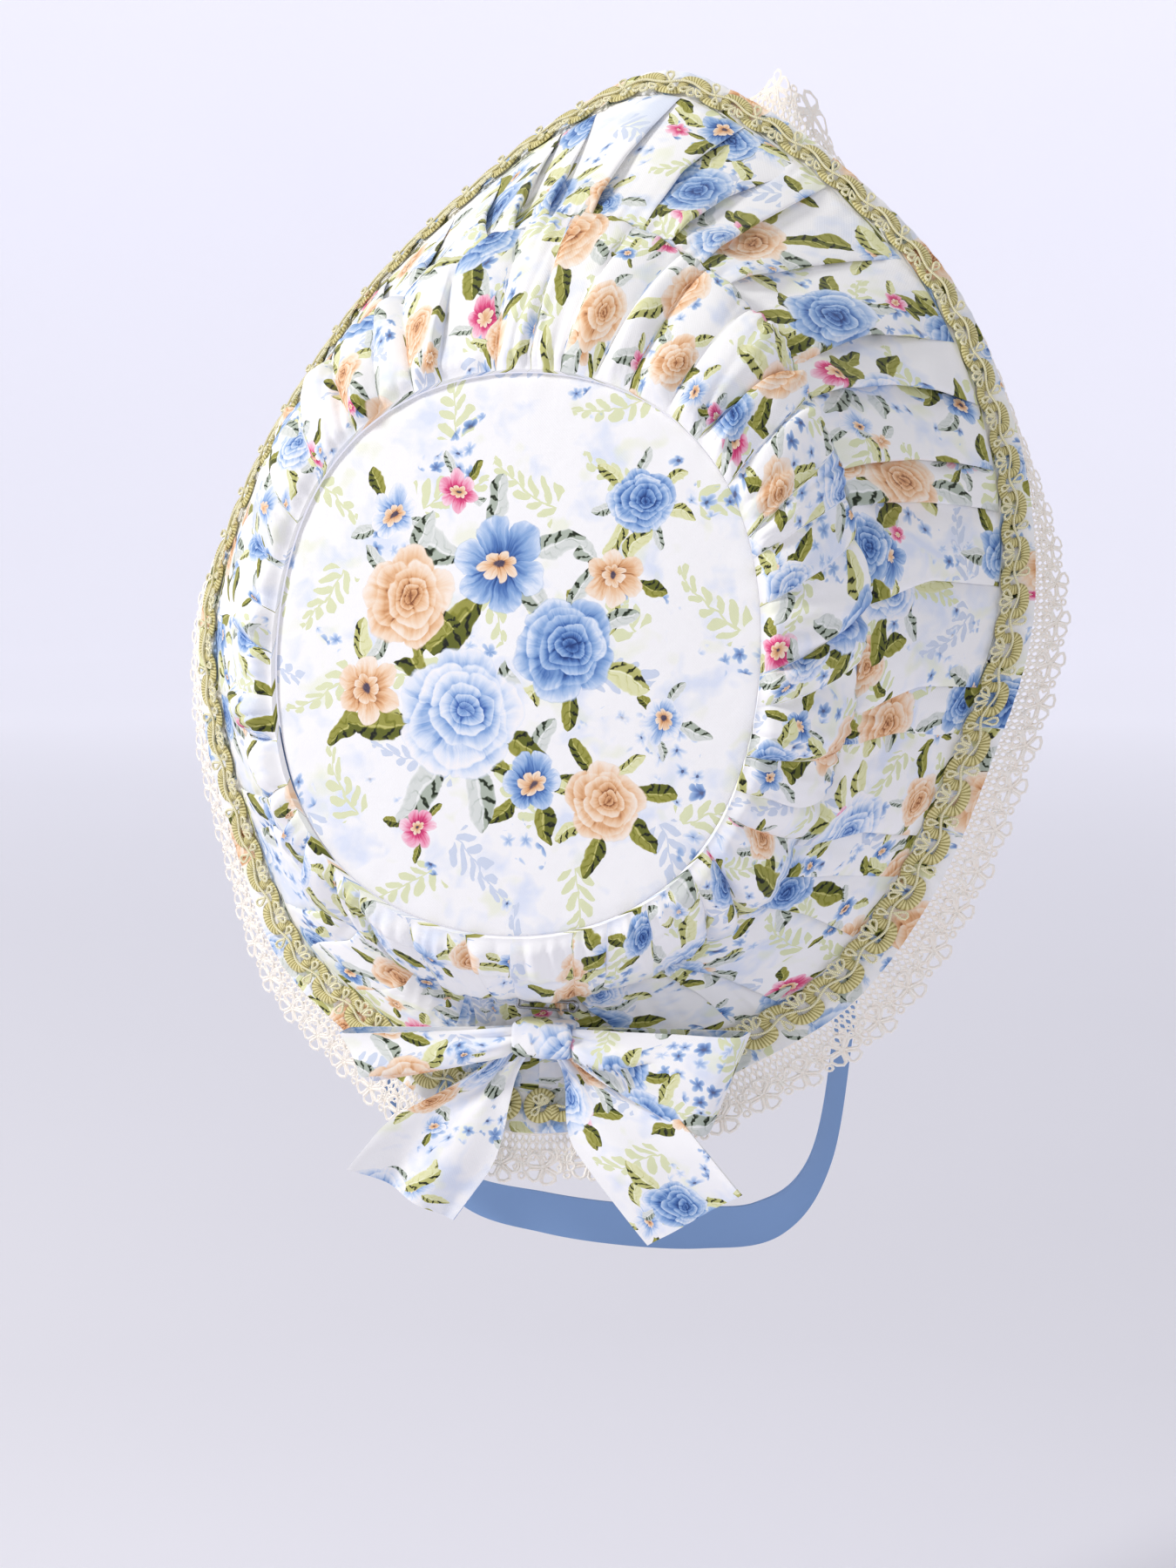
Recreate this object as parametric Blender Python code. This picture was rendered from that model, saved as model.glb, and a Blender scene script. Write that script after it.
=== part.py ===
"""A full bonnet in the doll style, seen best from behind.

Metres, +Z up, +Y the way the wearer faces, +X the wearer's right.
The origin is the point inside the crown's top that rests on the wearer's head.
A place on the bonnet is a turn round it (0 at the top, 0.25 at the wearer's right, 0.5 at the nape)
and a reach (0 at the back panel's seam, 1 at the crown's seam, 2 at the brim's edge).
"""
import math

import bpy
import numpy as np

# Cloth and clearances
WALL = 0.0016
GAP = 0.0003
UNEVENNESS = 0.35

# Where the head bears inside the crown's top, as a reach
SEAT_REACH = 0.55

# Back panel
PANEL_WIDTH = 0.180
PANEL_HEIGHT = 0.196
PANEL_LEAN = math.radians(9.0)
PANEL_SQUARE = 0.075
PANEL_DOME = 0.007

# Crown seam, where the crown band meets the brim
SEAM_WIDTH = 0.228
SEAM_RISE = 0.150
SEAM_DEPTH = 0.075
CROWN_BULGE = 0.006
CROWN_FOLDS = 30
CROWN_FOLD_HEIGHT = 0.0028

# Brim
BRIM_WIDTH = 0.322
BRIM_RISE = 0.208
BRIM_DEPTH = 0.167
BRIM_DIP = 0.004
BRIM_PLEATS = 38
BRIM_PLEAT_HEIGHT = 0.0032

# Gimp braid sewn on the brim
GIMP_WIDTH = 0.0130
GIMP_THICK = 0.0018
GIMP_SET_IN = 0.0030
GIMP_SEAT = 0.0005
GIMP_SPLIT = 0.0006

# Lace edging sewn under the brim
LACE_SHOW = 0.0180
LACE_HIDDEN = 0.0080
LACE_THICK = 0.0010
LACE_SEAT = 0.0007
LACE_FLOWERS = 60
LACE_SCALLOP = 0.0045
LACE_TURN_END = 0.17
LACE_FORWARD = np.array([0.0, 0.97, -0.24])

# Bow at the nape
BOW_SIDE = 0.0115
BOW_DROP = 0.1360
KNOT_WIDTH = 0.0215
KNOT_HEIGHT = 0.0135
KNOT_DEPTH = 0.0130
KNOT_SQUARE = 0.4
BOW_CLOTH = 0.0011
LOOP_REACH = 0.0720
LOOP_PUFF = 0.0060
LOOP_ROOT = 0.0018
LOOP_DIMPLE = 0.0008
TAIL_LENGTH = 0.0660
TAIL_WIDTH = 0.0400
TAIL_WAVE = 0.0026

# Bar pin behind the bow
PIN_LENGTH = 0.0205
PIN_WIRE = 0.0010
PIN_COIL = 0.0036
PIN_TURNS = 1.5
PIN_OFF_CENTRE = 0.0030
PIN_REACH = 1.2
PIN_PLEAT_SHARE = 0.75

# Chin ribbon
RIBBON_WIDTH = 0.0180
RIBBON_THICK = 0.0010
RIBBON_SET_IN = 0.0060
CHIN_DROP = 0.2340
CHIN_FORWARD = 0.1180
CHEEK_HALF = 0.0930

# Crown seam, top to nape: shares of half its width, of its depth and of its rise
SEAM_TABLE = (
    # side, forward, height
    (0.00, 1.00, 1.00),
    (0.38, 0.87, 0.90),
    (0.72, 0.65, 0.68),
    (0.94, 0.50, 0.38),
    (1.00, 0.43, 0.03),
    (0.89, 0.38, -0.31),
    (0.63, 0.33, -0.60),
    (0.31, 0.24, -0.76),
    (0.00, 0.19, -0.81),
)

# Brim edge, top to nape: shares of half its width, of its depth and of its rise
BRIM_TABLE = (
    # side, forward, height
    (0.00, 1.00, 1.00),
    (0.25, 0.99, 0.925),
    (0.49, 0.975, 0.79),
    (0.705, 0.93, 0.63),
    (0.86, 0.83, 0.44),
    (0.965, 0.70, 0.24),
    (1.01, 0.545, 0.02),
    (0.95, 0.43, -0.20),
    (0.845, 0.375, -0.415),
    (0.69, 0.28, -0.60),
    (0.465, 0.19, -0.715),
    (0.235, 0.10, -0.80),
    (0.00, 0.05, -0.83),
)

# One pleat or fold: share of its width, share of its height
PLEAT_PROFILE = (
    # place, height
    (0.00, 0.10),
    (0.30, 0.62),
    (0.62, 1.00),
    (0.86, 0.92),
)
FOLD_PROFILE = (
    # place, height
    (0.00, 0.00),
    (0.28, 0.70),
    (0.55, 1.00),
    (0.80, 0.60),
)

# Bow loops: outer top and bottom corners from the knot's middle, shares of the loop's reach
LOOP_TABLE = (
    # name, way, top corner out, top corner up, low corner out, low corner up
    ("bow_loop_right", 1.0, 1.03, 0.09, 0.83, -0.41),
    ("bow_loop_left", -1.0, 1.08, -0.04, 0.90, -0.27),
)

# Bow tails: middle of the end from the knot's middle, shares of the tail's length, and its end's turn
TAIL_TABLE = (
    # name, way, end out, end down, end turn in degrees
    ("bow_tail_right", 1.0, 0.88, 0.89, 32.0),
    ("bow_tail_left", -1.0, 0.80, 0.90, 23.0),
)


def clear_scene():
    """Remove whatever the file opened with."""
    for old in list(bpy.data.objects):
        bpy.data.objects.remove(old, do_unlink=True)


def paint(name, colour, roughness, metallic=0.0):
    """A plain material in the piece's own colour."""
    material = bpy.data.materials.new(name)
    material.use_nodes = True
    shader = material.node_tree.nodes["Principled BSDF"]
    shader.inputs["Base Color"].default_value = (*colour, 1.0)
    shader.inputs["Roughness"].default_value = roughness
    shader.inputs["Metallic"].default_value = metallic
    return material


def add_piece(name, points, faces, material):
    """One named object from points and faces."""
    mesh = bpy.data.meshes.new(name)
    mesh.from_pydata([tuple(point) for point in points], [], faces)
    mesh.update()
    mesh.materials.append(material)
    mesh.shade_smooth()
    mesh.set_sharp_from_angle(angle=math.radians(40.0))
    piece = bpy.data.objects.new(name, mesh)
    bpy.context.scene.collection.objects.link(piece)
    return piece


def unit(vectors):
    """Vectors made one long."""
    return vectors / np.linalg.norm(vectors, axis=-1, keepdims=True)


def smooth_step(values):
    """0 below 0, 1 above 1, an even S between."""
    held = np.clip(values, 0.0, 1.0)
    return held * held * (3.0 - 2.0 * held)


def through_points(points, stations):
    """Catmull-Rom curve through points, with stations counted in points."""
    first = np.clip(np.floor(stations).astype(int), 1, len(points) - 3)
    share = (stations - first)[..., None]
    before, start, end, after = (points[first + step] for step in (-1, 0, 1, 2))
    bend = 2.0 * before - 5.0 * start + 4.0 * end - after
    twist = 3.0 * start - before - 3.0 * end + after
    return 0.5 * (2.0 * start + (end - before) * share + bend * share**2 + twist * share**3)


def ring_through(table, half_width, depth, rise, turns):
    """A closed ring, the same on both sides, through a table's rows."""
    right = np.array(table) * (half_width, depth, rise)
    left = right[-2:0:-1] * (-1.0, 1.0, 1.0)
    ring = np.vstack([right, left])
    count = len(ring)
    wrapped = np.vstack([ring[-1:], ring, ring[:3]])
    return through_points(wrapped, (np.asarray(turns) % 1.0) * count + 1.0)


def panel_outline(turns, grow=0.0):
    """The back panel's outline, an egg on a plane that leans forward at its top."""
    angle = 2.0 * math.pi * np.asarray(turns)
    fullness = 1.0 + PANEL_SQUARE * (1.0 + np.cos(2.0 * angle))
    side = (PANEL_WIDTH / 2.0 + grow) * np.sin(angle) * fullness
    height = (PANEL_HEIGHT / 2.0 + grow) * np.cos(angle)
    return np.stack([side, height * math.sin(PANEL_LEAN), height * math.cos(PANEL_LEAN)], axis=-1)


def crown_seam(turns):
    """The ring where the crown band meets the brim."""
    return ring_through(SEAM_TABLE, SEAM_WIDTH / 2.0, SEAM_DEPTH, SEAM_RISE, turns)


def brim_edge(turns):
    """The brim's outer edge."""
    return ring_through(BRIM_TABLE, BRIM_WIDTH / 2.0, BRIM_DEPTH, BRIM_RISE, turns)


def span_normal(near, far, turns, step=0.004):
    """Outward direction square to a span between two rings."""
    span = far(turns) - near(turns)
    along = (far(turns + step) + near(turns + step)) - (far(turns - step) + near(turns - step))
    return unit(np.cross(along, span))


def bare_surface(turns, reach):
    """The head side of crown band and brim, without folds, from the back panel's middle."""
    turns, reach = np.broadcast_arrays(np.asarray(turns, float), np.asarray(reach, float))
    grown = lambda places: panel_outline(places, GAP)
    panel, seam, edge = grown(turns), crown_seam(turns), brim_edge(turns)
    crown_share = reach[..., None]
    brim_share = crown_share - 1.0
    crown_arch = 4.0 * crown_share * (1.0 - crown_share) * CROWN_BULGE
    brim_arch = 4.0 * brim_share * (1.0 - brim_share) * BRIM_DIP
    crown = panel + (seam - panel) * crown_share + span_normal(grown, crown_seam, turns) * crown_arch
    brim = seam + (edge - seam) * brim_share - span_normal(crown_seam, brim_edge, turns) * brim_arch
    return np.where(crown_share <= 1.0, crown, brim)


ORIGIN = -bare_surface(0.0, SEAT_REACH)


def smooth_surface(turns, reach):
    """The bare surface from the head seat, which is the object's origin."""
    return ORIGIN + bare_surface(turns, reach)


def surface_normal(turns, reach, step=0.004):
    """Outward direction of the smooth surface."""
    along = smooth_surface(turns + step, reach) - smooth_surface(turns - step, reach)
    across = smooth_surface(turns, reach + step) - smooth_surface(turns, reach - step)
    return unit(np.cross(along, across))


def lifted(turns, reach, height, seam_share=0.02):
    """Points a height off the smooth surface, outward; both sides of the seam share its direction."""
    turns, reach = np.broadcast_arrays(np.asarray(turns, float), np.asarray(reach, float))
    height = np.broadcast_to(np.asarray(height, float), turns.shape)
    facing = np.where(np.abs(reach - 1.0) < seam_share, 1.0, reach)
    return smooth_surface(turns, reach) + surface_normal(turns, facing) * height[..., None]


def brim_span(turns):
    """The brim's width at a turn, which turns millimetres on it into reach."""
    return np.linalg.norm(brim_edge(turns) - crown_seam(turns), axis=-1)


def fold_columns(profile, count, unevenness):
    """Turns, heights and folds of every column, with folds of unequal width."""
    place, height = np.array(profile).T
    index = np.arange(count)
    widths = 1.0 + unevenness * np.sin(2.4 * index + 0.9 * np.sin(1.3 * index))
    starts = np.concatenate([[0.0], np.cumsum(widths)]) / widths.sum()
    turns = (starts[:-1, None] + np.diff(starts)[:, None] * place[None, :]).ravel()
    return turns, np.tile(height, count), np.repeat(index, len(place))


def fold_strength(folds):
    """Each fold's share of the full height, uneven but the same each time."""
    return 0.72 + 0.28 * np.sin(folds * 2.4 + 0.7 * np.sin(folds * 1.1))


def grid_faces(across, offset, closed, flip, holes=()):
    """Quads over a grid numbered row by row, open or closed along its first way."""
    rows, columns = across
    faces = []
    for row in range(rows if closed else rows - 1):
        after = (row + 1) % rows
        for column in range(columns - 1):
            if (row, column) in holes:
                continue
            quad = (
                offset + row * columns + column,
                offset + after * columns + column,
                offset + after * columns + column + 1,
                offset + row * columns + column + 1,
            )
            faces.append(quad[::-1] if flip else quad)
    return faces


def wall_between(line, offset, flip):
    """Quads from a line of outer points to the same inner points."""
    faces = []
    for start, end in zip(line[:-1], line[1:]):
        quad = (start, end, end + offset, start + offset)
        faces.append(quad[::-1] if flip else quad)
    return faces


def shell(name, outer, inner, closed, material, holes=()):
    """A closed wall between two grids, with holes cut through cells that stand alone."""
    rows, columns = outer.shape[:2]
    size = rows * columns
    numbers = np.arange(size).reshape(rows, columns)
    faces = grid_faces((rows, columns), 0, closed, False, holes)
    faces += grid_faces((rows, columns), size, closed, True, holes)
    run = np.append(numbers[:, 0], numbers[0, 0]) if closed else numbers[:, 0]
    far_run = np.append(numbers[:, -1], numbers[0, -1]) if closed else numbers[:, -1]
    faces += wall_between([int(n) for n in run], size, True)
    faces += wall_between([int(n) for n in far_run], size, False)
    if not closed:
        faces += wall_between([int(n) for n in numbers[0]], size, False)
        faces += wall_between([int(n) for n in numbers[-1]], size, True)
    for row, column in sorted(holes):
        after = (row + 1) % rows
        corners = [numbers[row, column], numbers[after, column]]
        corners += [numbers[after, column + 1], numbers[row, column + 1], numbers[row, column]]
        faces += wall_between([int(n) for n in corners], size, False)
    points = np.concatenate([outer.reshape(-1, 3), inner.reshape(-1, 3)])
    return add_piece(name, points, faces, material)


def tube_faces(count, sides):
    """Quads between rings of corners, with a flat face on each end."""
    faces = []
    for ring in range(count - 1):
        for corner in range(sides):
            beside = (corner + 1) % sides
            low, high = ring * sides, (ring + 1) * sides
            faces.append((low + corner, low + beside, high + beside, high + corner))
    faces.append(tuple(range(sides))[::-1])
    faces.append(tuple((count - 1) * sides + corner for corner in range(sides)))
    return faces


def tube(name, path, radius, sides, material):
    """A round wire along a path, with flat ends."""
    ways = np.gradient(path, axis=0)
    ways = unit(ways)
    side = unit(np.cross(ways[0], (0.3, 0.5, 0.81)))
    rings = []
    for point, way in zip(path, ways):
        side = unit(side - way * np.dot(side, way))
        up = np.cross(way, side)
        angles = 2.0 * math.pi * np.arange(sides) / sides
        rings.append(point + radius * (np.cos(angles)[:, None] * side + np.sin(angles)[:, None] * up))
    return add_piece(name, np.concatenate(rings), tube_faces(len(path), sides), material)


def build_back_panel(cloth):
    """The smooth egg-shaped panel, domed away from the head."""
    segments, rings = 40, 3
    turns = np.arange(segments) / segments
    back = np.array([0.0, -math.cos(PANEL_LEAN), math.sin(PANEL_LEAN)])
    sheets = []
    for lift in (0.0, -WALL):
        grid = [ORIGIN + back * (lift + PANEL_DOME)]
        for ring in range(1, rings + 1):
            share = ring / rings
            dome = PANEL_DOME * (1.0 - share**2)
            grid += list(ORIGIN + panel_outline(turns) * share + back * (lift + dome))
        sheets.append(np.array(grid))
    size = len(sheets[0])
    faces = []
    for sheet in (0, 1):
        start = sheet * size
        for segment in range(segments):
            beside = (segment + 1) % segments
            fan = (start, start + 1 + segment, start + 1 + beside)
            faces.append(fan[::-1] if sheet == 0 else fan)
            for ring in range(rings - 1):
                low, high = start + 1 + ring * segments, start + 1 + (ring + 1) * segments
                quad = (low + segment, high + segment, high + beside, low + beside)
                faces.append(quad[::-1] if sheet == 0 else quad)
    rim = 1 + (rings - 1) * segments
    for segment in range(segments):
        beside = (segment + 1) % segments
        faces.append((rim + segment, rim + beside, size + rim + beside, size + rim + segment))
    return add_piece("back_panel", np.concatenate(sheets), faces, cloth)


def build_crown_band(cloth):
    """The ruched band from the back panel to the brim."""
    turns, heights, folds = fold_columns(FOLD_PROFILE, CROWN_FOLDS, UNEVENNESS)
    seam_reach = GAP / np.linalg.norm(crown_seam(turns) - panel_outline(turns), axis=-1)
    places = np.array([0.0, 0.16, 0.42, 0.72, 1.0])
    reach = places[None, :] * (1.0 - seam_reach[:, None])
    fullness = np.array([0.35, 1.0, 0.9, 1.0, 0.5])
    lift = WALL + CROWN_FOLD_HEIGHT * (heights * fold_strength(folds))[:, None] * fullness[None, :]
    slant = 0.35 / CROWN_FOLDS * np.sin(2.0 * math.pi * 3.0 * turns)
    around = turns[:, None] + slant[:, None] * (places[None, :] - 0.5)
    return shell("crown_band", lifted(around, reach, lift), lifted(around, reach, 0.0), True, cloth)


def pleat_turns():
    """Turns, heights and pleats of the brim's columns, which the braid's follow."""
    return fold_columns(PLEAT_PROFILE, BRIM_PLEATS, UNEVENNESS)


def build_brim(cloth):
    """The flaring brim, a smooth board under pleats that lie flat beneath the braid."""
    turns, heights, folds = pleat_turns()
    span = brim_span(turns)
    start = 1.0 + GAP / span
    flat = 2.0 - (GIMP_SET_IN + GIMP_WIDTH) / span
    shares = np.array([0.0, 0.30, 0.62, 0.90])
    reach = start[:, None] + (flat - start)[:, None] * shares[None, :]
    reach = np.concatenate([reach, flat[:, None], np.full((len(turns), 1), 2.0)], axis=1)
    fullness = np.array([0.65, 1.0, 0.85, 0.55, 0.0, 0.0])
    lift = WALL + BRIM_PLEAT_HEIGHT * (heights * fold_strength(folds))[:, None] * fullness[None, :]
    slant = 0.7 / BRIM_PLEATS * np.sin(2.0 * math.pi * 2.0 * turns)
    slope = np.array([-1.0, -0.5, 0.0, 0.0, 0.0, 0.0])
    around = turns[:, None] + slant[:, None] * slope[None, :]
    return shell("brim", lifted(around, reach, lift), lifted(around, reach, 0.0), True, cloth)


def build_gimp_braid(braid):
    """The scroll braid's band, on the brim just in from its edge, split at the nape."""
    columns = np.sort(pleat_turns()[0])
    step = 0.01
    split = step * GIMP_SPLIT / 2.0 / np.linalg.norm(brim_edge(0.5 + step) - brim_edge(0.5))
    columns = columns[np.abs(columns - 0.5) > 2.0 * split]
    after, before = columns[columns > 0.5], columns[columns < 0.5]
    turns = np.concatenate([[0.5 + split], after, before + 1.0, [1.5 - split]])
    span = brim_span(turns)
    reach = 2.0 - (GIMP_SET_IN + np.array([GIMP_WIDTH, 0.0])) / span[:, None]
    base = WALL + GIMP_SEAT
    around = np.broadcast_to(turns[:, None], reach.shape)
    outer, inner = lifted(around, reach, base + GIMP_THICK), lifted(around, reach, base)
    return shell("gimp_braid", outer, inner, False, braid)


def lace_point(turns, past_edge, depth):
    """A point on the lace: under the brim up to its edge, then on past it, turned forward round the top."""
    under = np.minimum(past_edge, 0.0)
    reach = 2.0 + under / brim_span(turns)
    start = lifted(turns, reach, -LACE_SEAT - depth)
    away = unit(brim_edge(turns) - crown_seam(turns))
    from_top = np.abs((turns + 0.5) % 1.0 - 0.5)
    forward = 1.0 - smooth_step((from_top - LACE_TURN_END) / 0.08)
    way = unit(away * (1.0 - forward)[..., None] + LACE_FORWARD * forward[..., None])
    return start + way * np.maximum(past_edge, 0.0)[..., None]


def build_lace_edging(lace):
    """Flower lace under the brim's edge, one gap cut through for each flower."""
    columns = 2 * LACE_FLOWERS
    turns = np.arange(columns)[:, None] / columns
    scallop = LACE_SCALLOP * (np.arange(columns)[:, None] % 2)
    lines = LACE_SHOW * np.array([0.0, 0.22, 0.64, 1.0])
    past_edge = lines[None, :] - scallop * (lines == LACE_SHOW)
    past_edge[:, 0] = -LACE_HIDDEN
    around = np.broadcast_to(turns, past_edge.shape)
    holes = {(column, 1) for column in range(0, columns, 2)}
    outer = lace_point(around, past_edge, 0.0)
    inner = lace_point(around, past_edge, LACE_THICK)
    return shell("lace_edging", outer, inner, True, lace, holes)


def nape_face():
    """How far back the brim's pleats stand at the nape, level with the bow's pin."""
    point = lifted(0.5, PIN_REACH, WALL + BRIM_PLEAT_HEIGHT * PIN_PLEAT_SHARE)
    return float(point[1])


def pin_depth():
    """How deep the pin is beside the knot: two turns of wire, one behind the other."""
    return 2.0 * PIN_WIRE + GAP


def knot_middle():
    """The middle of the bow's knot: knot, pin and nape lie one behind the other."""
    back = nape_face() - pin_depth() - 2.0 * GAP
    return ORIGIN * (1.0, 0.0, 1.0) + np.array([BOW_SIDE, back - KNOT_DEPTH / 2.0, -BOW_DROP])


def build_bow_knot(cloth):
    """The band round the bow's middle: a rounded block, pinched to each side."""
    sides = 12
    angles = 2.0 * math.pi * np.arange(sides) / sides
    squared = lambda values: np.sign(values) * np.abs(values) ** KNOT_SQUARE
    rings = []
    for share, swell in ((-1.0, 0.90), (-0.45, 1.0), (0.45, 1.0), (1.0, 0.90)):
        side = np.full(sides, share * KNOT_WIDTH / 2.0)
        depth = squared(np.cos(angles)) * KNOT_DEPTH / 2.0 * swell
        height = squared(np.sin(angles)) * KNOT_HEIGHT / 2.0 * swell
        rings.append(np.stack([side, depth, height], axis=-1))
    points = knot_middle() + np.concatenate(rings)
    return add_piece("bow_knot", points, tube_faces(len(rings), sides), cloth)


def build_bow_loop(row, cloth):
    """One loop: a band that runs out behind, turns at the outer fold and comes back in front."""
    name, way, top_out, top_up, low_out, low_up = row
    stations = np.linspace(-1.0, 1.0, 15)
    out = np.sin(0.5 * math.pi * (1.0 - np.abs(stations))) ** 0.8
    puff = LOOP_PUFF * np.sign(stations) * np.sin(math.pi * np.abs(stations) ** 0.6) ** 0.7
    root = KNOT_HEIGHT * 0.30
    start = KNOT_WIDTH / 2.0 + GAP
    across = np.linspace(1.0, -1.0, 5)
    high_share, low_share = (1.0 + across) / 2.0, (1.0 - across) / 2.0
    tip_out = LOOP_REACH * (top_out * high_share + low_out * low_share)
    tip_up = LOOP_REACH * (top_up * high_share + low_up * low_share)
    side = start + out[:, None] * (tip_out[None, :] - start)
    flare = out[:, None] ** 0.75
    height = across[None, :] * root * (1.0 - flare) + tip_up[None, :] * flare
    root_share = np.sign(stations)[:, None] * (1.0 - out[:, None])
    dimple = LOOP_DIMPLE * root_share * (1.0 - across[None, :] ** 2)
    depth = -(puff[:, None] + LOOP_ROOT * root_share - dimple)
    middle = np.stack([way * side, depth, height], axis=-1) + knot_middle()
    along = np.gradient(middle, axis=0)
    down = np.gradient(middle, axis=1)
    square = unit(np.cross(along, down)) * BOW_CLOTH / 2.0
    return shell(name, middle + square, middle - square, False, cloth)


def build_bow_tail(row, cloth):
    """One tail: gathered under the knot, spreading to a straight cut end."""
    name, way, end_out, end_down, end_turn = row
    shares = np.linspace(0.0, 1.0, 8)
    across = np.linspace(-1.0, 1.0, 6)
    spread = 0.24 + 0.76 * smooth_step(shares * 1.25)
    turn = math.radians(end_turn) * shares ** 0.6
    start_out, start_down = KNOT_WIDTH * 0.26, KNOT_HEIGHT / 2.0 + GAP
    mid_out = start_out + (TAIL_LENGTH * end_out - start_out) * shares**1.15
    mid_down = start_down + (TAIL_LENGTH * end_down - start_down) * shares
    half = TAIL_WIDTH / 2.0 * spread
    side = mid_out[:, None] + np.cos(turn)[:, None] * half[:, None] * across[None, :]
    drop = mid_down[:, None] - np.sin(turn)[:, None] * half[:, None] * across[None, :]
    side = np.where(shares[:, None] == 0.0, np.maximum(side, GAP), side)
    wave = TAIL_WAVE * np.sin(1.5 * math.pi * across)[None, :] * shares[:, None]
    depth = KNOT_DEPTH * (0.12 - 0.62 * smooth_step(shares * 1.4))[:, None] + wave
    middle = np.stack([way * side, depth, -drop], axis=-1) + knot_middle()
    along = np.gradient(middle, axis=0)
    down = np.gradient(middle, axis=1)
    square = unit(np.cross(along, down)) * BOW_CLOTH / 2.0
    return shell(name, middle + square, middle - square, False, cloth)


def build_bar_pin(metal):
    """Bent wire: a catch, the bar, one coil and the pin that comes back to the catch."""
    radius = PIN_WIRE / 2.0
    coil = PIN_COIL / 2.0
    half = PIN_LENGTH / 2.0
    catch = half * np.array([[-1.0, 0.0, 0.0]]) + PIN_COIL * np.array([
        # side, depth and rise from the bar's left end
        (0.45, 0.0, 0.98),
        (0.00, 0.0, 0.92),
        (-0.10, 0.0, 0.40),
        (0.00, 0.0, 0.00),
    ])
    bar = half * np.array([(-0.4, 0.0, 0.0), (0.4, 0.0, 0.0)])
    turned = np.radians(np.arange(0.0, 360.0 * PIN_TURNS + 1.0, 30.0))
    behind = -(PIN_WIRE + GAP) * turned / (2.0 * math.pi)
    rings = np.stack([half + coil * np.sin(turned), behind, coil - coil * np.cos(turned)], axis=-1)
    back = np.array([
        (half * 0.3, behind[-1], PIN_COIL * 0.90),
        (-half + PIN_COIL * 0.6, behind[-1], PIN_COIL * 0.75),
    ])
    path = np.vstack([catch, bar, rings, back])
    knot = knot_middle()
    depth = nape_face() - GAP - radius
    rise = KNOT_HEIGHT / 2.0 - PIN_COIL * 0.60
    place = np.array([knot[0] - PIN_OFF_CENTRE, depth, knot[2] + rise])
    return tube("bar_pin", path + place, radius, 6, metal)


def ribbon_path():
    """The ribbon's middle line and the way its width lies, from the left seam under the chin."""
    hold = GAP + RIBBON_THICK * np.array([0.85, 3.5, 9.0])
    half = RIBBON_WIDTH / 2.0
    seam_turns = np.array([0.262, 0.292, 0.318])
    reach = 1.0 + (half + RIBBON_SET_IN) / brim_span(seam_turns)
    sewn = lifted(seam_turns, reach, -hold)
    free = np.array([
        # side, forward and down from the back panel's middle
        (CHEEK_HALF * 1.10, CHIN_FORWARD * 0.62, CHIN_DROP * 0.42),
        (CHEEK_HALF * 1.02, CHIN_FORWARD * 0.75, CHIN_DROP * 0.64),
        (CHEEK_HALF * 0.90, CHIN_FORWARD * 0.84, CHIN_DROP * 0.84),
        (CHEEK_HALF * 0.66, CHIN_FORWARD * 0.92, CHIN_DROP * 0.955),
        (CHEEK_HALF * 0.34, CHIN_FORWARD * 0.98, CHIN_DROP * 0.99),
    ]) * (1.0, 1.0, -1.0) + ORIGIN
    chin = np.array([[0.0, CHIN_FORWARD, -CHIN_DROP]]) + ORIGIN
    right = np.vstack([sewn, free])
    middle = np.vstack([right, chin, right[::-1] * (-1.0, 1.0, 1.0)])
    step = 0.004
    sewn_way = unit(smooth_surface(seam_turns, reach + step) - smooth_surface(seam_turns, reach - step))
    loose_way = unit(np.array([
        # how the ribbon's width lies at each free point
        (0.25, 0.97, 0.0),
        (0.12, 0.99, 0.0),
        (0.1, 0.9, -0.35),
        (0.0, 0.5, -0.86),
        (0.0, 0.25, -0.97),
    ]))
    chin_way = np.array([(0.0, 0.2, -0.98)])
    ways = np.vstack([sewn_way, loose_way])
    ways = np.vstack([ways, chin_way, ways[::-1] * (-1.0, 1.0, 1.0)])
    stations = np.linspace(0.0, len(middle) - 1.0, 49)
    ends = lambda rows: np.vstack([2.0 * rows[0] - rows[1], rows, 2.0 * rows[-1] - rows[-2]])
    return through_points(ends(middle), stations + 1.0), unit(through_points(ends(ways), stations + 1.0))


def build_chin_ribbon(satin):
    """The satin ribbon, sewn inside both sides of the brim and hanging under the chin."""
    middle, ways = ribbon_path()
    along = unit(np.gradient(middle, axis=0))
    ways = unit(ways - along * np.sum(ways * along, axis=1, keepdims=True))
    square = np.cross(along, ways)
    across = np.array([-0.5, 0.0, 0.5]) * RIBBON_WIDTH
    sheet = middle[:, None, :] + ways[:, None, :] * across[None, :, None]
    outer = sheet + square[:, None, :] * RIBBON_THICK / 2.0
    inner = sheet - square[:, None, :] * RIBBON_THICK / 2.0
    return shell("chin_ribbon", outer, inner, False, satin)


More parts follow.
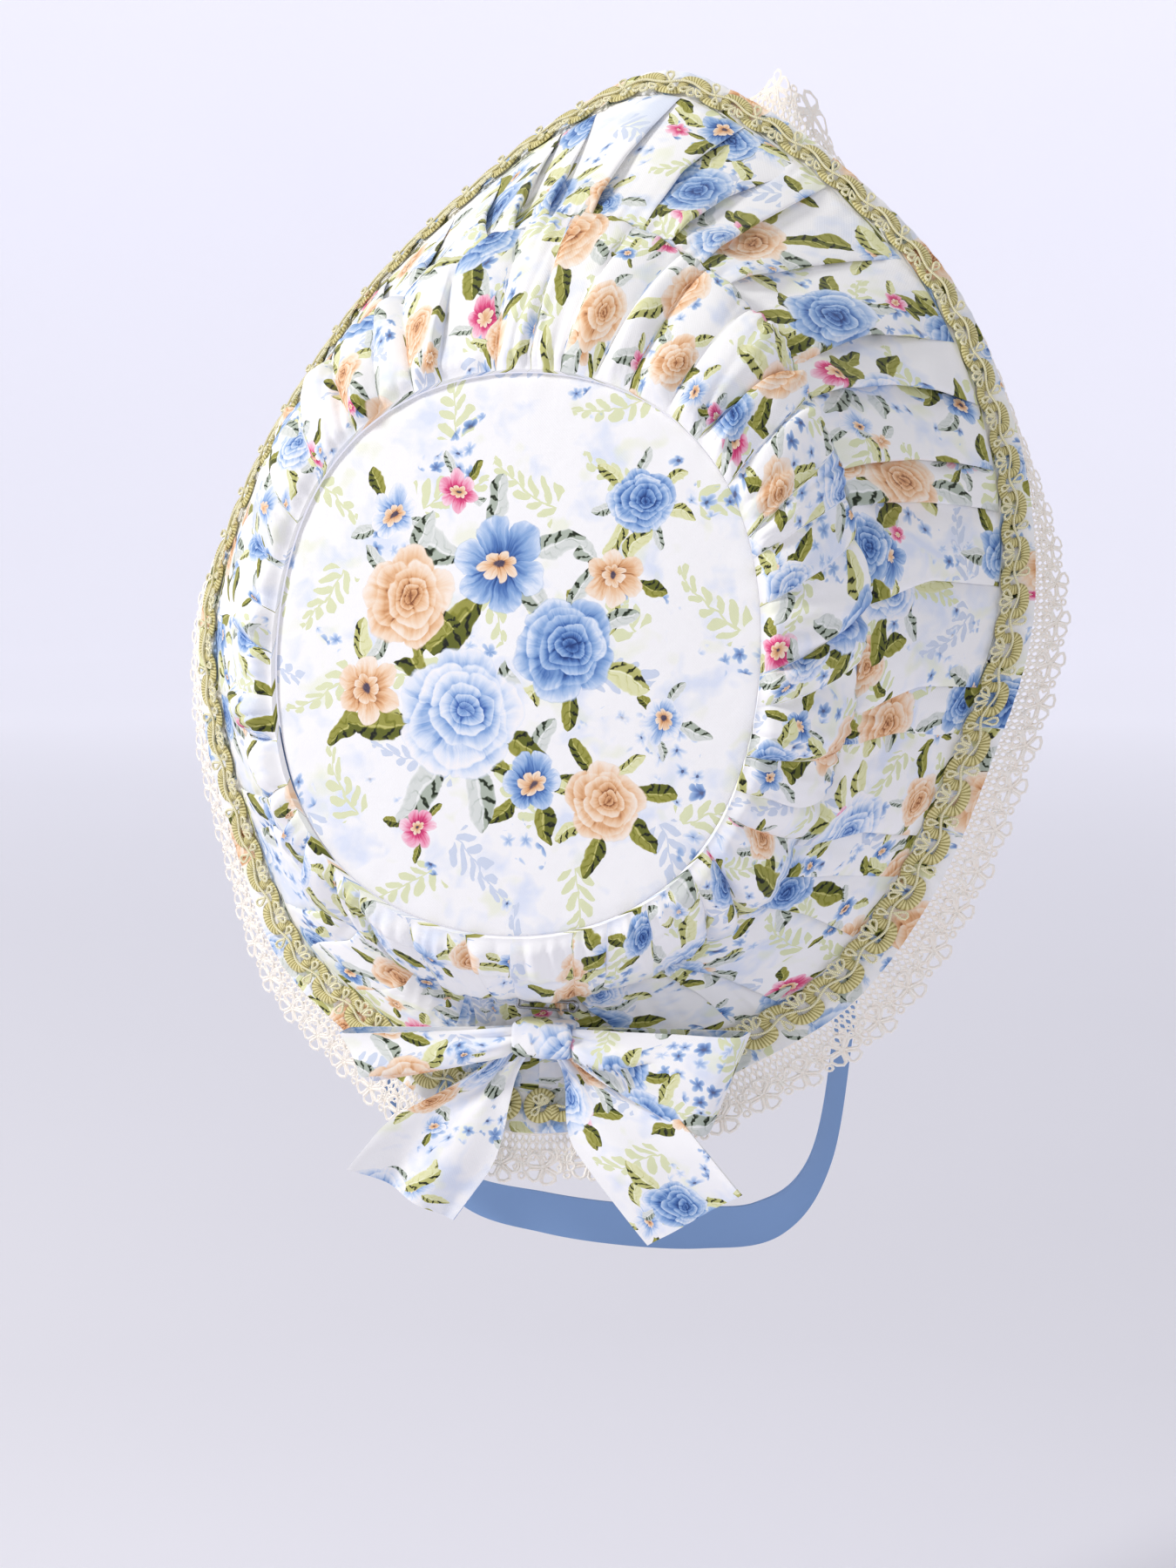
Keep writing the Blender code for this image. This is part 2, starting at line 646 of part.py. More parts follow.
def main():
    """Model every piece."""
    clear_scene()
    print_cloth = paint("printed_cotton", (0.86, 0.86, 0.84), 0.75)
    build_back_panel(print_cloth)
    build_crown_band(paint("ruched_cotton", (0.80, 0.83, 0.86), 0.78))
    build_brim(paint("pleated_cotton", (0.84, 0.85, 0.86), 0.78))
    build_gimp_braid(paint("gimp", (0.56, 0.50, 0.22), 0.55))
    build_lace_edging(paint("ivory_lace", (0.90, 0.83, 0.72), 0.80))
    bow_cloth = paint("bow_cotton", (0.78, 0.82, 0.88), 0.75)
    build_bow_knot(bow_cloth)
    for row in LOOP_TABLE:
        build_bow_loop(row, bow_cloth)
    for row in TAIL_TABLE:
        build_bow_tail(row, bow_cloth)
    build_bar_pin(paint("pin_wire", (0.72, 0.72, 0.74), 0.25, 1.0))
    build_chin_ribbon(paint("blue_satin", (0.21, 0.33, 0.58), 0.35))


main()
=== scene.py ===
"""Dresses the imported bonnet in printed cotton, scroll gimp, flower lace, a pinned bow and a satin ribbon.

Metres, +Z up, +Y the way the wearer faces, +X the wearer's right.
A place on the bonnet is a turn round it (0 at the top, 0.25 at the wearer's right, 0.5 at the nape)
and a reach (0 at the back panel's seam, 1 at the crown's seam, 2 at the brim's edge).
"""
import math

import bpy
import numpy as np
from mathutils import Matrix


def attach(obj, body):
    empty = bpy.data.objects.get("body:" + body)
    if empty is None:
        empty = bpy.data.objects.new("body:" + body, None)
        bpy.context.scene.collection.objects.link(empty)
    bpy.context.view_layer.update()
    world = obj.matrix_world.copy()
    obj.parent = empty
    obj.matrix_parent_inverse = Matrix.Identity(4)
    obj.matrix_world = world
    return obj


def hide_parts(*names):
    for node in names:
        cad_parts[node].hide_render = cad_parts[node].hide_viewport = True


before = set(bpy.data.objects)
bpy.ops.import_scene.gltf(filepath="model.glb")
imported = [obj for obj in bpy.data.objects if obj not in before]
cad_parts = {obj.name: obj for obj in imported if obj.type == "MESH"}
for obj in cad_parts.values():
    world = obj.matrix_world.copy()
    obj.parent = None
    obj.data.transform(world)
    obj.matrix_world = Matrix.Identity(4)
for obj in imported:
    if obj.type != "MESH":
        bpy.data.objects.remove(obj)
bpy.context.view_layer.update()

bl_info = {
    "name": "Doll Style Bonnet",
    "version": (1, 0, 0),
    "blender": (4, 5, 0),
    "location": "View3D > Sidebar > Bonnet",
    "description": "Builds a ruched and pleated bonnet with its trims, from sizes and colours",
    "category": "Add Mesh",
}

# Sizes that the solids were made to, in metres
WALL = 0.0016
GAP = 0.0003
STEP = 0.004  # a small step in turn or reach, for differences
UNEVENNESS = 0.35
SEAT_REACH = 0.55
PANEL_WIDTH, PANEL_HEIGHT = 0.180, 0.196
PANEL_LEAN = math.radians(9.0)
PANEL_SQUARE, PANEL_DOME = 0.075, 0.007
SEAM_WIDTH, SEAM_RISE, SEAM_DEPTH = 0.228, 0.150, 0.075
CROWN_BULGE, CROWN_FOLD_HEIGHT = 0.006, 0.0028
BRIM_WIDTH, BRIM_RISE, BRIM_DEPTH = 0.322, 0.208, 0.167
BRIM_DIP, BRIM_PLEAT_HEIGHT = 0.004, 0.0032
GIMP_WIDTH, GIMP_SET_IN, GIMP_SEAT = 0.0130, 0.0030, 0.0005
LACE_SEAT, LACE_TURN_END = 0.0007, 0.17
LACE_FORWARD = np.array([0.0, 0.97, -0.24])
LACE_STANDS = 0.048  # the turn where a few of the lace's flowers stand up
BOW_SIDE, BOW_DROP = 0.0115, 0.1360
KNOT_WIDTH, KNOT_HEIGHT, KNOT_DEPTH, KNOT_SQUARE = 0.0215, 0.0135, 0.0130, 0.4
BOW_CLOTH, LOOP_REACH, LOOP_PUFF = 0.0009, 0.0720, 0.0060
LOOP_ROOT, LOOP_DIMPLE = 0.0018, 0.0008
TUCK_HIDES = 0.012  # cloth that the tuck across a loop's front takes up
TAIL_LENGTH, TAIL_WIDTH, TAIL_WAVE = 0.0660, 0.0400, 0.0026
PIN_LENGTH, PIN_WIRE, PIN_COIL, PIN_TURNS = 0.0205, 0.0010, 0.0036, 1.5
PIN_OFF_CENTRE, PIN_REACH, PIN_PLEAT_SHARE = 0.0030, 1.2, 0.75
PIN_SHOWS = 0.0040  # the pin rides this much higher on the knot than its solid does
RIBBON_WIDTH, RIBBON_THICK, RIBBON_SET_IN = 0.0180, 0.0008, 0.0060
RIBBON_CUP, RIBBON_SELVAGE = 0.0006, 0.00025  # how far its edges curl up, and how thick its selvage stands
CHIN_DROP, CHIN_FORWARD, CHEEK_HALF = 0.2340, 0.1180, 0.0930

# Crown seam and brim edge, top to nape: shares of half the width, of the depth and of the rise
SEAM_TABLE = (
    # side, forward, height
    (0.00, 1.00, 1.00),
    (0.38, 0.87, 0.90),
    (0.72, 0.65, 0.68),
    (0.94, 0.50, 0.38),
    (1.00, 0.43, 0.03),
    (0.89, 0.38, -0.31),
    (0.63, 0.33, -0.60),
    (0.31, 0.24, -0.76),
    (0.00, 0.19, -0.81),
)
BRIM_TABLE = (
    # side, forward, height
    (0.00, 1.00, 1.00),
    (0.25, 0.99, 0.925),
    (0.49, 0.975, 0.79),
    (0.705, 0.93, 0.63),
    (0.86, 0.83, 0.44),
    (0.965, 0.70, 0.24),
    (1.01, 0.545, 0.02),
    (0.95, 0.43, -0.20),
    (0.845, 0.375, -0.415),
    (0.69, 0.28, -0.60),
    (0.465, 0.19, -0.715),
    (0.235, 0.10, -0.80),
    (0.00, 0.05, -0.83),
)
LOOP_TABLE = (
    # name, way, top corner out, top corner up, low corner out, low corner up, tuck's slope, how far it runs
    ("bow_loop_right", 1.0, 1.03, 0.09, 0.83, -0.41, 1.5, 0.60),
    ("bow_loop_left", -1.0, 1.08, -0.04, 0.90, -0.27, 0.10, 1.30),
)
TAIL_TABLE = (
    # name, way, end out, end down, end turn in degrees, start further out, how soon it spreads
    ("bow_tail_right", 1.0, 0.88, 0.89, 32.0, 0.0015, 2.0),
    ("bow_tail_left", -1.0, 0.80, 0.90, 23.0, 0.0060, 1.4),
)

# The camera, from the photograph's perspective
CAMERA_PLACE = (0.4334, -1.1578, -0.0085)
CAMERA_AIM = (0.0270, -0.0411, -0.1755)
CAMERA_LENS = 79.2


def linear(code):
    """A colour from its sRGB hex code, in linear light."""
    parts = [int(code[place:place + 2], 16) / 255.0 for place in (1, 3, 5)]
    parts = [part / 12.92 if part <= 0.04045 else ((part + 0.055) / 1.055) ** 2.4 for part in parts]
    return *parts, 1.0


# Shape of the bonnet

def unit(vectors):
    """Vectors made one long."""
    return vectors / np.linalg.norm(vectors, axis=-1, keepdims=True)


def smooth_step(values):
    """0 below 0, 1 above 1, an even S between."""
    held = np.clip(values, 0.0, 1.0)
    return held * held * (3.0 - 2.0 * held)


def through_points(points, stations):
    """Catmull-Rom curve through points, with stations counted in points."""
    first = np.clip(np.floor(stations).astype(int), 1, len(points) - 3)
    share = (stations - first)[..., None]
    before, start, end, after = (points[first + step] for step in (-1, 0, 1, 2))
    bend = 2.0 * before - 5.0 * start + 4.0 * end - after
    twist = 3.0 * start - before - 3.0 * end + after
    return 0.5 * (2.0 * start + (end - before) * share + bend * share**2 + twist * share**3)


def ring_through(table, half_width, depth, rise, turns):
    """A closed ring through a table's rows, which are mirrored for the other side."""
    right = np.array(table) * (half_width, depth, rise)
    ring = np.vstack([right, right[-2:0:-1] * (-1.0, 1.0, 1.0)])
    wrapped = np.vstack([ring[-1:], ring, ring[:3]])
    return through_points(wrapped, (np.asarray(turns) % 1.0) * len(ring) + 1.0)


def panel_outline(turns, grow=0.0):
    """An egg on a leaning plane: a circle's sine and cosine, squared off a little at its sides."""
    angle = 2.0 * math.pi * np.asarray(turns)
    fullness = 1.0 + PANEL_SQUARE * (1.0 + np.cos(2.0 * angle))
    side = (PANEL_WIDTH / 2.0 + grow) * np.sin(angle) * fullness
    height = (PANEL_HEIGHT / 2.0 + grow) * np.cos(angle)
    return np.stack([side, height * math.sin(PANEL_LEAN), height * math.cos(PANEL_LEAN)], axis=-1)


def panel_edge(turns):
    """The crown band's inner ring, a gap outside the back panel."""
    return panel_outline(turns, GAP)


def crown_seam(turns):
    """The ring where the crown band meets the brim."""
    return ring_through(SEAM_TABLE, SEAM_WIDTH / 2.0, SEAM_DEPTH, SEAM_RISE, turns)


def brim_edge(turns):
    """The brim's outer edge."""
    return ring_through(BRIM_TABLE, BRIM_WIDTH / 2.0, BRIM_DEPTH, BRIM_RISE, turns)


def span_normal(near, far, turns):
    """Outward direction square to a span between two rings."""
    span = far(turns) - near(turns)
    along = (far(turns + STEP) + near(turns + STEP)) - (far(turns - STEP) + near(turns - STEP))
    return unit(np.cross(along, span))


def bare_surface(turns, reach):
    """Straight spans between the rings, arched out on the crown and dipped on the brim by a parabola."""
    turns, reach = np.broadcast_arrays(np.asarray(turns, float), np.asarray(reach, float))
    panel, seam, edge = panel_edge(turns), crown_seam(turns), brim_edge(turns)
    crown_share = reach[..., None]
    brim_share = crown_share - 1.0
    crown_arch = 4.0 * crown_share * (1.0 - crown_share) * CROWN_BULGE
    brim_arch = 4.0 * brim_share * (1.0 - brim_share) * BRIM_DIP
    crown = panel + (seam - panel) * crown_share + span_normal(panel_edge, crown_seam, turns) * crown_arch
    brim = seam + (edge - seam) * brim_share - span_normal(crown_seam, brim_edge, turns) * brim_arch
    return np.where(crown_share <= 1.0, crown, brim)


ORIGIN = -bare_surface(0.0, SEAT_REACH)


def smooth_surface(turns, reach):
    """The bare surface from the object's origin."""
    return ORIGIN + bare_surface(turns, reach)


def surface_normal(turns, reach):
    """Outward direction of the smooth surface, from differences either side."""
    along = smooth_surface(turns + STEP, reach) - smooth_surface(turns - STEP, reach)
    across = smooth_surface(turns, reach + STEP) - smooth_surface(turns, reach - STEP)
    return unit(np.cross(along, across))


def lifted(turns, reach, height, seam_share=0.02):
    """Points a height off the smooth surface; both sides of the crown's seam share its direction."""
    turns, reach = np.broadcast_arrays(np.asarray(turns, float), np.asarray(reach, float))
    height = np.broadcast_to(np.asarray(height, float), turns.shape)
    facing = np.where(np.abs(reach - 1.0) < seam_share, 1.0, reach)
    return smooth_surface(turns, reach) + surface_normal(turns, facing) * height[..., None]


def brim_span(turns):
    """The brim's width at a turn."""
    return np.linalg.norm(brim_edge(turns) - crown_seam(turns), axis=-1)


def band_span(turns):
    """The crown band's width at a turn."""
    return np.linalg.norm(crown_seam(turns) - panel_outline(turns), axis=-1)


def fold_starts(count):
    """Where each fold starts, as a turn; widths follow a sine of a sine, so none repeat."""
    index = np.arange(count)
    widths = 1.0 + UNEVENNESS * np.sin(2.4 * index + 0.9 * np.sin(1.3 * index))
    return np.concatenate([[0.0], np.cumsum(widths)]) / widths.sum()


def lace_point(turns, past_edge, depth):
    """A point on the lace: under the brim up to its edge, then on past it, turned forward round the top."""
    reach = 2.0 + np.minimum(past_edge, 0.0) / brim_span(turns)
    start = lifted(turns, reach, -LACE_SEAT - depth)
    away = unit(brim_edge(turns) - crown_seam(turns))
    from_top = np.abs((turns + 0.5) % 1.0 - 0.5)
    forward = (1.0 - smooth_step((from_top - LACE_TURN_END) / 0.08))[..., None]
    way = unit(away * (1.0 - forward) + LACE_FORWARD * forward)
    signed = (turns + 0.5) % 1.0 - 0.5
    stands = 0.85 * np.exp(-(((signed - LACE_STANDS) / 0.016) ** 2))[..., None]
    way = unit(way * (1.0 - stands) + np.array([0.15, -0.1, 1.0]) * stands)
    return start + way * np.maximum(past_edge, 0.0)[..., None]


def knot_middle():
    """The middle of the bow's knot: knot, pin and nape lie one behind the other."""
    back = nape_face() - 2.0 * PIN_WIRE - 3.0 * GAP
    return ORIGIN * (1.0, 0.0, 1.0) + np.array([BOW_SIDE, back - KNOT_DEPTH / 2.0, -BOW_DROP])


def nape_face():
    """How far back the brim's pleats stand at the nape."""
    return float(lifted(0.5, PIN_REACH, WALL + BRIM_PLEAT_HEIGHT * PIN_PLEAT_SHARE)[1])


# Mesh from grids

def grid_part(points, uv, wrap=False, flip=False, slot=0):
    """A grid of points with one more row of cloth places than of points where it wraps round."""
    return {"points": points, "uv": uv, "wrap": wrap, "flip": flip, "slot": slot}


def grid_quads(part):
    """Every cell's corners, as rows and columns, in the order that faces outward."""
    rows, columns = part["points"].shape[:2]
    row, column = np.meshgrid(
        np.arange(rows if part["wrap"] else rows - 1), np.arange(columns - 1), indexing="ij"
    )
    row, column = row.ravel(), column.ravel()
    corner_rows = np.stack([row, row + 1, row + 1, row], axis=1)
    corner_columns = np.stack([column, column, column + 1, column + 1], axis=1)
    if part["flip"]:
        corner_rows, corner_columns = corner_rows[:, ::-1], corner_columns[:, ::-1]
    return corner_rows, corner_columns


def mesh_piece(name, parts, materials, merge=1e-6):
    """One object from grids, whose shared border points are merged, so that a shell comes out closed."""
    points, quads, uvs, slots, offset = [], [], [], [], 0
    for part in parts:
        rows, columns = part["points"].shape[:2]
        corner_rows, corner_columns = grid_quads(part)
        quads.append(offset + (corner_rows % rows) * columns + corner_columns)
        uvs.append(part["uv"][corner_rows, corner_columns])
        slots.append(np.full(len(corner_rows), part["slot"]))
        points.append(part["points"].reshape(-1, 3))
        offset += rows * columns
    points, quads, uvs = np.concatenate(points), np.concatenate(quads), np.concatenate(uvs)
    steps = np.round((points - points.min(axis=0)) / merge).astype(np.int64)
    keys = (steps[:, 0] << 42) + (steps[:, 1] << 21) + steps[:, 2]
    _, first, same = np.unique(keys, return_index=True, return_inverse=True)
    quads = same[quads]
    distinct = (quads != np.roll(quads, 1, axis=1)).sum(axis=1)
    keep = distinct >= 3
    quads, uvs, slots = quads[keep], uvs[keep], np.concatenate(slots)[keep]
    real = quads != np.roll(quads, 1, axis=1)
    counts = real.sum(axis=1)
    starts = np.concatenate([[0], np.cumsum(counts)[:-1]])
    mesh = bpy.data.meshes.new(name)
    mesh.vertices.add(len(first))
    mesh.vertices.foreach_set("co", points[first].ravel())
    mesh.loops.add(int(counts.sum()))
    mesh.loops.foreach_set("vertex_index", quads[real].astype(np.int32))
    mesh.polygons.add(len(quads))
    mesh.polygons.foreach_set("loop_start", starts.astype(np.int32))
    mesh.polygons.foreach_set("material_index", slots.astype(np.int32))
    layer = mesh.uv_layers.new(name="cloth")
    layer.data.foreach_set("uv", uvs[real].ravel())
    mesh.update(calc_edges=True)
    mesh.validate()
    mesh.shade_smooth()
    mesh.set_sharp_from_angle(angle=math.radians(62.0))
    for material in materials:
        mesh.materials.append(material)
    piece = bpy.data.objects.new(name, mesh)
    bpy.context.scene.collection.objects.link(piece)
    return piece


def wall_parts(outer, inner, uv, inner_uv, wrap, inner_slot=0):
    """A closed wall: two faces and the strips that join their borders."""
    parts = [grid_part(outer, uv, wrap), grid_part(inner, inner_uv, wrap, True, inner_slot)]
    for column, flip in ((0, False), (-1, True)):
        edge = np.stack([outer[:, column], inner[:, column]], axis=1)
        parts.append(grid_part(edge, np.stack([uv[:, column]] * 2, axis=1), wrap, flip))
    if not wrap:
        for row, flip in ((0, True), (-1, False)):
            edge = np.stack([outer[row], inner[row]], axis=1)
            parts.append(grid_part(edge, np.stack([uv[row]] * 2, axis=1), False, flip))
    return parts


def dress(piece, nodes):
    """The piece rides on the bonnet's one body and stands for its solids."""
    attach(piece, "root")
    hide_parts(*nodes)


def lengths_along(points, axis):
    """Running length along an axis of a grid, from 0."""
    steps = np.linalg.norm(np.diff(points, axis=axis), axis=-1)
    start = np.zeros_like(np.take(steps, [0], axis=axis))
    return np.concatenate([start, np.cumsum(steps, axis=axis)], axis=axis)


def cord_tube(path, half_wide, half_high, sides, closed=False):
    """An oval section along a path that lies flat, its width square to the path in the flat's plane."""
    if closed:
        ways = np.roll(path, -1, axis=-2) - np.roll(path, 1, axis=-2)
    else:
        ways = np.gradient(path, axis=-2)
    ways = unit(ways)
    side = unit(np.cross(ways, (0.0, 0.0, 1.0)))
    up = np.cross(side, ways)
    angles = 2.0 * math.pi * np.arange(sides) / sides
    ring = np.cos(angles)[:, None] * side[..., None, :] * half_wide
    ring = ring + np.sin(angles)[:, None] * up[..., None, :] * half_high
    tube = path[..., None, :] + ring
    if not closed:
        ends = np.broadcast_to(path[..., None, :], tube.shape)
        tube = np.concatenate([ends[..., :1, :, :], tube, ends[..., -1:, :, :]], axis=-3)
    return tube


def tube_part(tube, closed=False, slot=0):
    """A tube's grid of rings as a mesh part, with the length along it and round it as cloth places."""
    ring = np.concatenate([tube, tube[:, :1]], axis=1)
    if closed:
        ring = np.concatenate([ring, ring[:1]], axis=0)
    along = lengths_along(ring.mean(axis=1)[:, None], 0)
    around = np.arange(ring.shape[1]) / (ring.shape[1] - 1.0)
    uv = np.stack(np.broadcast_arrays(along, around[None, :] * 0.01), axis=-1)
    return grid_part(ring, uv, False, True, slot)


# Materials

class Wire:
    """A node's output. Arithmetic on it adds Math nodes to the same tree."""

    def __init__(self, socket):
        self.socket, self.tree = socket, socket.id_data

    def __add__(self, other):
        return put("Math.ADD", self, other)

    def __sub__(self, other):
        return put("Math.SUBTRACT", self, other)

    def __rsub__(self, other):
        return put("Math.SUBTRACT", other, self)

    def __mul__(self, other):
        return put("Math.MULTIPLY", self, other)

    def __truediv__(self, other):
        return put("Math.DIVIDE", self, other)

    def __rtruediv__(self, other):
        return put("Math.DIVIDE", other, self)

    def __pow__(self, other):
        return put("Math.POWER", self, other)

    def __mod__(self, other):
        return put("Math.FLOORED_MODULO", self, other)

    def __lt__(self, other):
        return put("Math.LESS_THAN", self, other)

    def __gt__(self, other):
        return put("Math.GREATER_THAN", self, other)

    def __abs__(self):
        return put("Math.ABSOLUTE", self)


def put(kind, *values, tree=None, out=0, stops=None, **settings):
    """Add a node: its kind and operation, its inputs in order, its ramp's stops and its settings."""
    kind, _, operation = kind.partition(".")
    tree = tree or next(value.tree for value in values if isinstance(value, Wire))
    node = tree.nodes.new("ShaderNode" + kind)
    if operation:
        node.operation = operation
    for name, value in settings.items():
        setattr(node, name, value)
    if stops:
        ramp = node.color_ramp.elements
        while len(ramp) < len(stops):
            ramp.new(0.5)
        for element, (place, colour) in zip(ramp, stops):
            element.position = place
            element.color = linear(colour)
    for socket, value in zip(node.inputs, values):
        if isinstance(value, Wire):
            tree.links.new(socket, value.socket)
        elif value is not None:
            socket.default_value = value
    return Wire(node.outputs[out])


def parts(wire, kind="SeparateXYZ"):
    """A vector's or a colour's three parts."""
    return [Wire(socket) for socket in put(kind, wire).socket.node.outputs]


def mapped(value, near, far, at_near, at_far):
    """A value's way from near to far, as a way between two others, held at both ends."""
    return put("MapRange", value, near, far, at_near, at_far)


def blend(share, below, above):
    """Two colours, mixed by a share of the second."""
    return put("MixRGB", share, below, above)


def noise(point, scale, detail=2.0, roughness=0.5, out=0):
    """Noise at a point, as one number or, from output 1, as a colour."""
    return put("TexNoise", point, None, scale, detail, roughness, out=out)


def scaled(vector, factor):
    """A vector times a number."""
    return put("VectorMath.SCALE", vector, None, None, factor)


def moved(vector, step):
    """A vector plus another."""
    return put("VectorMath.ADD", vector, step)


def spun(vector, turn):
    """A vector turned in the cloth's plane."""
    return put("VectorRotate", vector, (0.0, 0.0, 0.0), (0.0, 0.0, 1.0), turn)


def new_material(name, colour, roughness, metallic=0.0, **sockets):
    """A Principled material with its own settings on its shader's sockets."""
    material = bpy.data.materials.new(name)
    material.use_nodes = True
    shader = material.node_tree.nodes["Principled BSDF"]
    settings = {"Base Color": linear(colour), "Roughness": roughness, "Metallic": metallic, **sockets}
    for socket, value in settings.items():
        shader.inputs[socket].default_value = value
    return material


def finish(material, colour, height=None, strength=0.0, distance=0.0):
    """Lead a colour, and a bump that follows a height, into a material's shader."""
    tree = material.node_tree
    shader = tree.nodes["Principled BSDF"]
    tree.links.new(shader.inputs["Base Color"], colour.socket)
    if height:
        bump = put("Bump", strength, distance, None, height)
        tree.links.new(shader.inputs["Normal"], bump.socket)
    return material


BLUE_PAINT = ((0.0, "#E4ECF8"), (0.25, "#B4CBEA"), (0.50, "#86A9D8"), (0.75, "#4D76B6"), (1.0, "#223F7C"))
WHITE_PAINT = ((0.0, "#FAF8F8"), (0.28, "#E6EDF8"), (0.52, "#C0D3EE"), (0.76, "#8BADDC"), (1.0, "#3F66AE"))
PEACH_PAINT = ((0.0, "#FCEEDF"), (0.28, "#F7DCC0"), (0.52, "#EFC49A"), (0.78, "#D99E6C"), (1.0, "#8E5634"))
PINK_PAINT = ((0.0, "#FCDDE6"), (0.35, "#F4A3BE"), (0.65, "#E0487E"), (1.0, "#A6205A"))
OLIVE_PAINT = ((0.0, "#C8C478"), (0.30, "#8F8E36"), (0.60, "#5E6422"), (0.85, "#2F341A"), (1.0, "#171A10"))
LIME_PAINT = ((0.0, "#F2F2D2"), (0.35, "#DFDFA6"), (0.65, "#AFAE5C"), (0.85, "#454820"), (1.0, "#1E2214"))
MIST_PAINT = ((0.0, "#F1F2EE"), (0.35, "#D3D8D2"), (0.60, "#AEB8A8"), (0.82, "#4A5640"), (1.0, "#1E2618"))
FLOWER_PAINTS = (BLUE_PAINT, WHITE_PAINT, PEACH_PAINT, PINK_PAINT)
LEAF_PAINTS = (OLIVE_PAINT, LIME_PAINT, MIST_PAINT)


def pick_paint(tone, choice, paints):
    """One of several paints for a tone, by where a number from 0 to 1 falls between evenly set limits."""
    colour = put("ValToRGB", tone, stops=paints[0])
    for number, paint in enumerate(paints[1:], start=1):
        colour = blend(choice > number / len(paints), colour, put("ValToRGB", tone, stops=paint))
    return colour


def polar_place(point, size, turn, strokes=0.34):
    """Radius and angle of a point round a motif's middle, and brush strokes that run out from it."""
    point = spun(point, turn)
    x, y, _ = parts(point)
    radius = put("VectorMath.LENGTH", point, out=1) / size
    angle = put("Math.ARCTAN2", y, x)
    brush = noise(put("CombineXYZ", angle * 3.4, radius, turn), 2.2, roughness=0.55)
    return radius, angle, brush * (2.0 * strokes) - strokes


def petal_ring(tone, mask, place, count, phase, size, notch, inner, near, far):
    """Petals round a middle: a rectified sine for their edge, a tone that runs from within to the rim."""
    radius, angle, stroke = place
    wave = angle * (count / 2.0) + phase
    lobe = abs(put("Math.SINE", wave))
    share = radius / (lobe**0.5 * (size * notch) + size * (1.0 - notch))
    inside = mapped(share, 1.0, 0.96, 0.0, 1.0)
    number = put("Math.FLOOR", wave / math.pi) % count
    luck = put("TexWhiteNoise", None, number + size, noise_dimensions="1D")
    value = mapped(share, inner, 0.97, near, far) + mapped(lobe, 0.0, 0.35, 0.30, 0.0)
    value = value + (luck * 0.26 - 0.13) + stroke
    return put("Mix", inside, None, tone, value), put("Math.MAXIMUM", mask, inside)


ROSE_RINGS = (
    # petals, phase, size, notch, ring within, tone at its foot, tone at its rim
    (5.0, 0.4, 1.00, 0.17, 0.74, 0.60, 0.05),
    (5.0, 1.5, 0.80, 0.16, 0.72, 0.62, 0.08),
    (4.0, 2.6, 0.61, 0.15, 0.68, 0.74, 0.14),
    (4.0, 0.9, 0.43, 0.15, 0.62, 0.86, 0.26),
    (3.0, 2.1, 0.27, 0.15, 0.50, 1.00, 0.46),
    (2.0, 0.3, 0.13, 0.15, 0.10, 1.05, 0.66),
)


def paint_rose(colour, local, size, turn, choice):
    """A full-blown rose: rings of petals, the inner ones round a middle set to one side."""
    place = polar_place(local, size, turn)
    aside = put("VectorMath.SUBTRACT", local, scaled((0.10, 0.07, 0.0), size))
    heart = polar_place(aside, size, turn, 0.22)
    tone, mask = 0.5, 0.0
    for number, row in enumerate(ROSE_RINGS):
        tone, mask = petal_ring(tone, mask, place if number < 2 else heart, *row)
    return blend(mask, colour, pick_paint(tone, choice, FLOWER_PAINTS))


def paint_open_flower(colour, local, size, turn, choice):
    """An open flower: six petals, a small ring of peach stamens, a dark eye."""
    place = polar_place(local, size, turn, 0.40)
    tone, mask = petal_ring(0.5, 0.0, place, 6.0, 0.0, 1.00, 0.36, 0.30, 0.85, 0.06)
    colour = blend(mask, colour, pick_paint(tone, choice, FLOWER_PAINTS))
    tone, mask = petal_ring(0.5, 0.0, place, 7.0, 0.5, 0.40, 0.40, 0.20, 0.90, 0.15)
    colour = blend(mask, colour, put("ValToRGB", tone, stops=PEACH_PAINT))
    return blend(mapped(place[0], 0.13, 0.09, 0.0, 0.85), colour, linear("#2B3A5C"))


def lens_shape(along, power):
    """A leaf's half width: x times one less x, to a power."""
    return put("Math.MAXIMUM", along * (1.0 - along), 0.0) ** power


def paint_leaf(colour, local, luck):
    """A leaf along x from 0 to 1: a bent lens, one half dark, its veins slanting strokes."""
    along, across, _ = parts(local)
    off_rib = (across + along * along * 0.16) / (lens_shape(along, 0.72) * 0.62 + 0.0001)
    outward = abs(off_rib)
    inside = mapped(outward, 1.0, 0.92, 0.0, 1.0) * (abs(along - 0.5) < 0.5)
    vein = outward * -0.75 + along * 4.6
    vein = put("Math.PINGPONG", noise(local, 5.0, roughness=0.6) * 1.5 + vein, 0.5)
    depth = mapped(off_rib, -0.6, 0.5, 0.10, 0.48)
    tone = mapped(off_rib, -0.15, 0.15, 0.24, 0.58) + mapped(vein, 0.06, 0.20, depth, 0.0)
    tone = tone + (mapped(outward, 0.04, 0.12, -0.40, 0.0) + mapped(outward, 0.80, 1.0, 0.0, -0.22))
    return blend(inside, colour, pick_paint(tone, luck, LEAF_PAINTS))


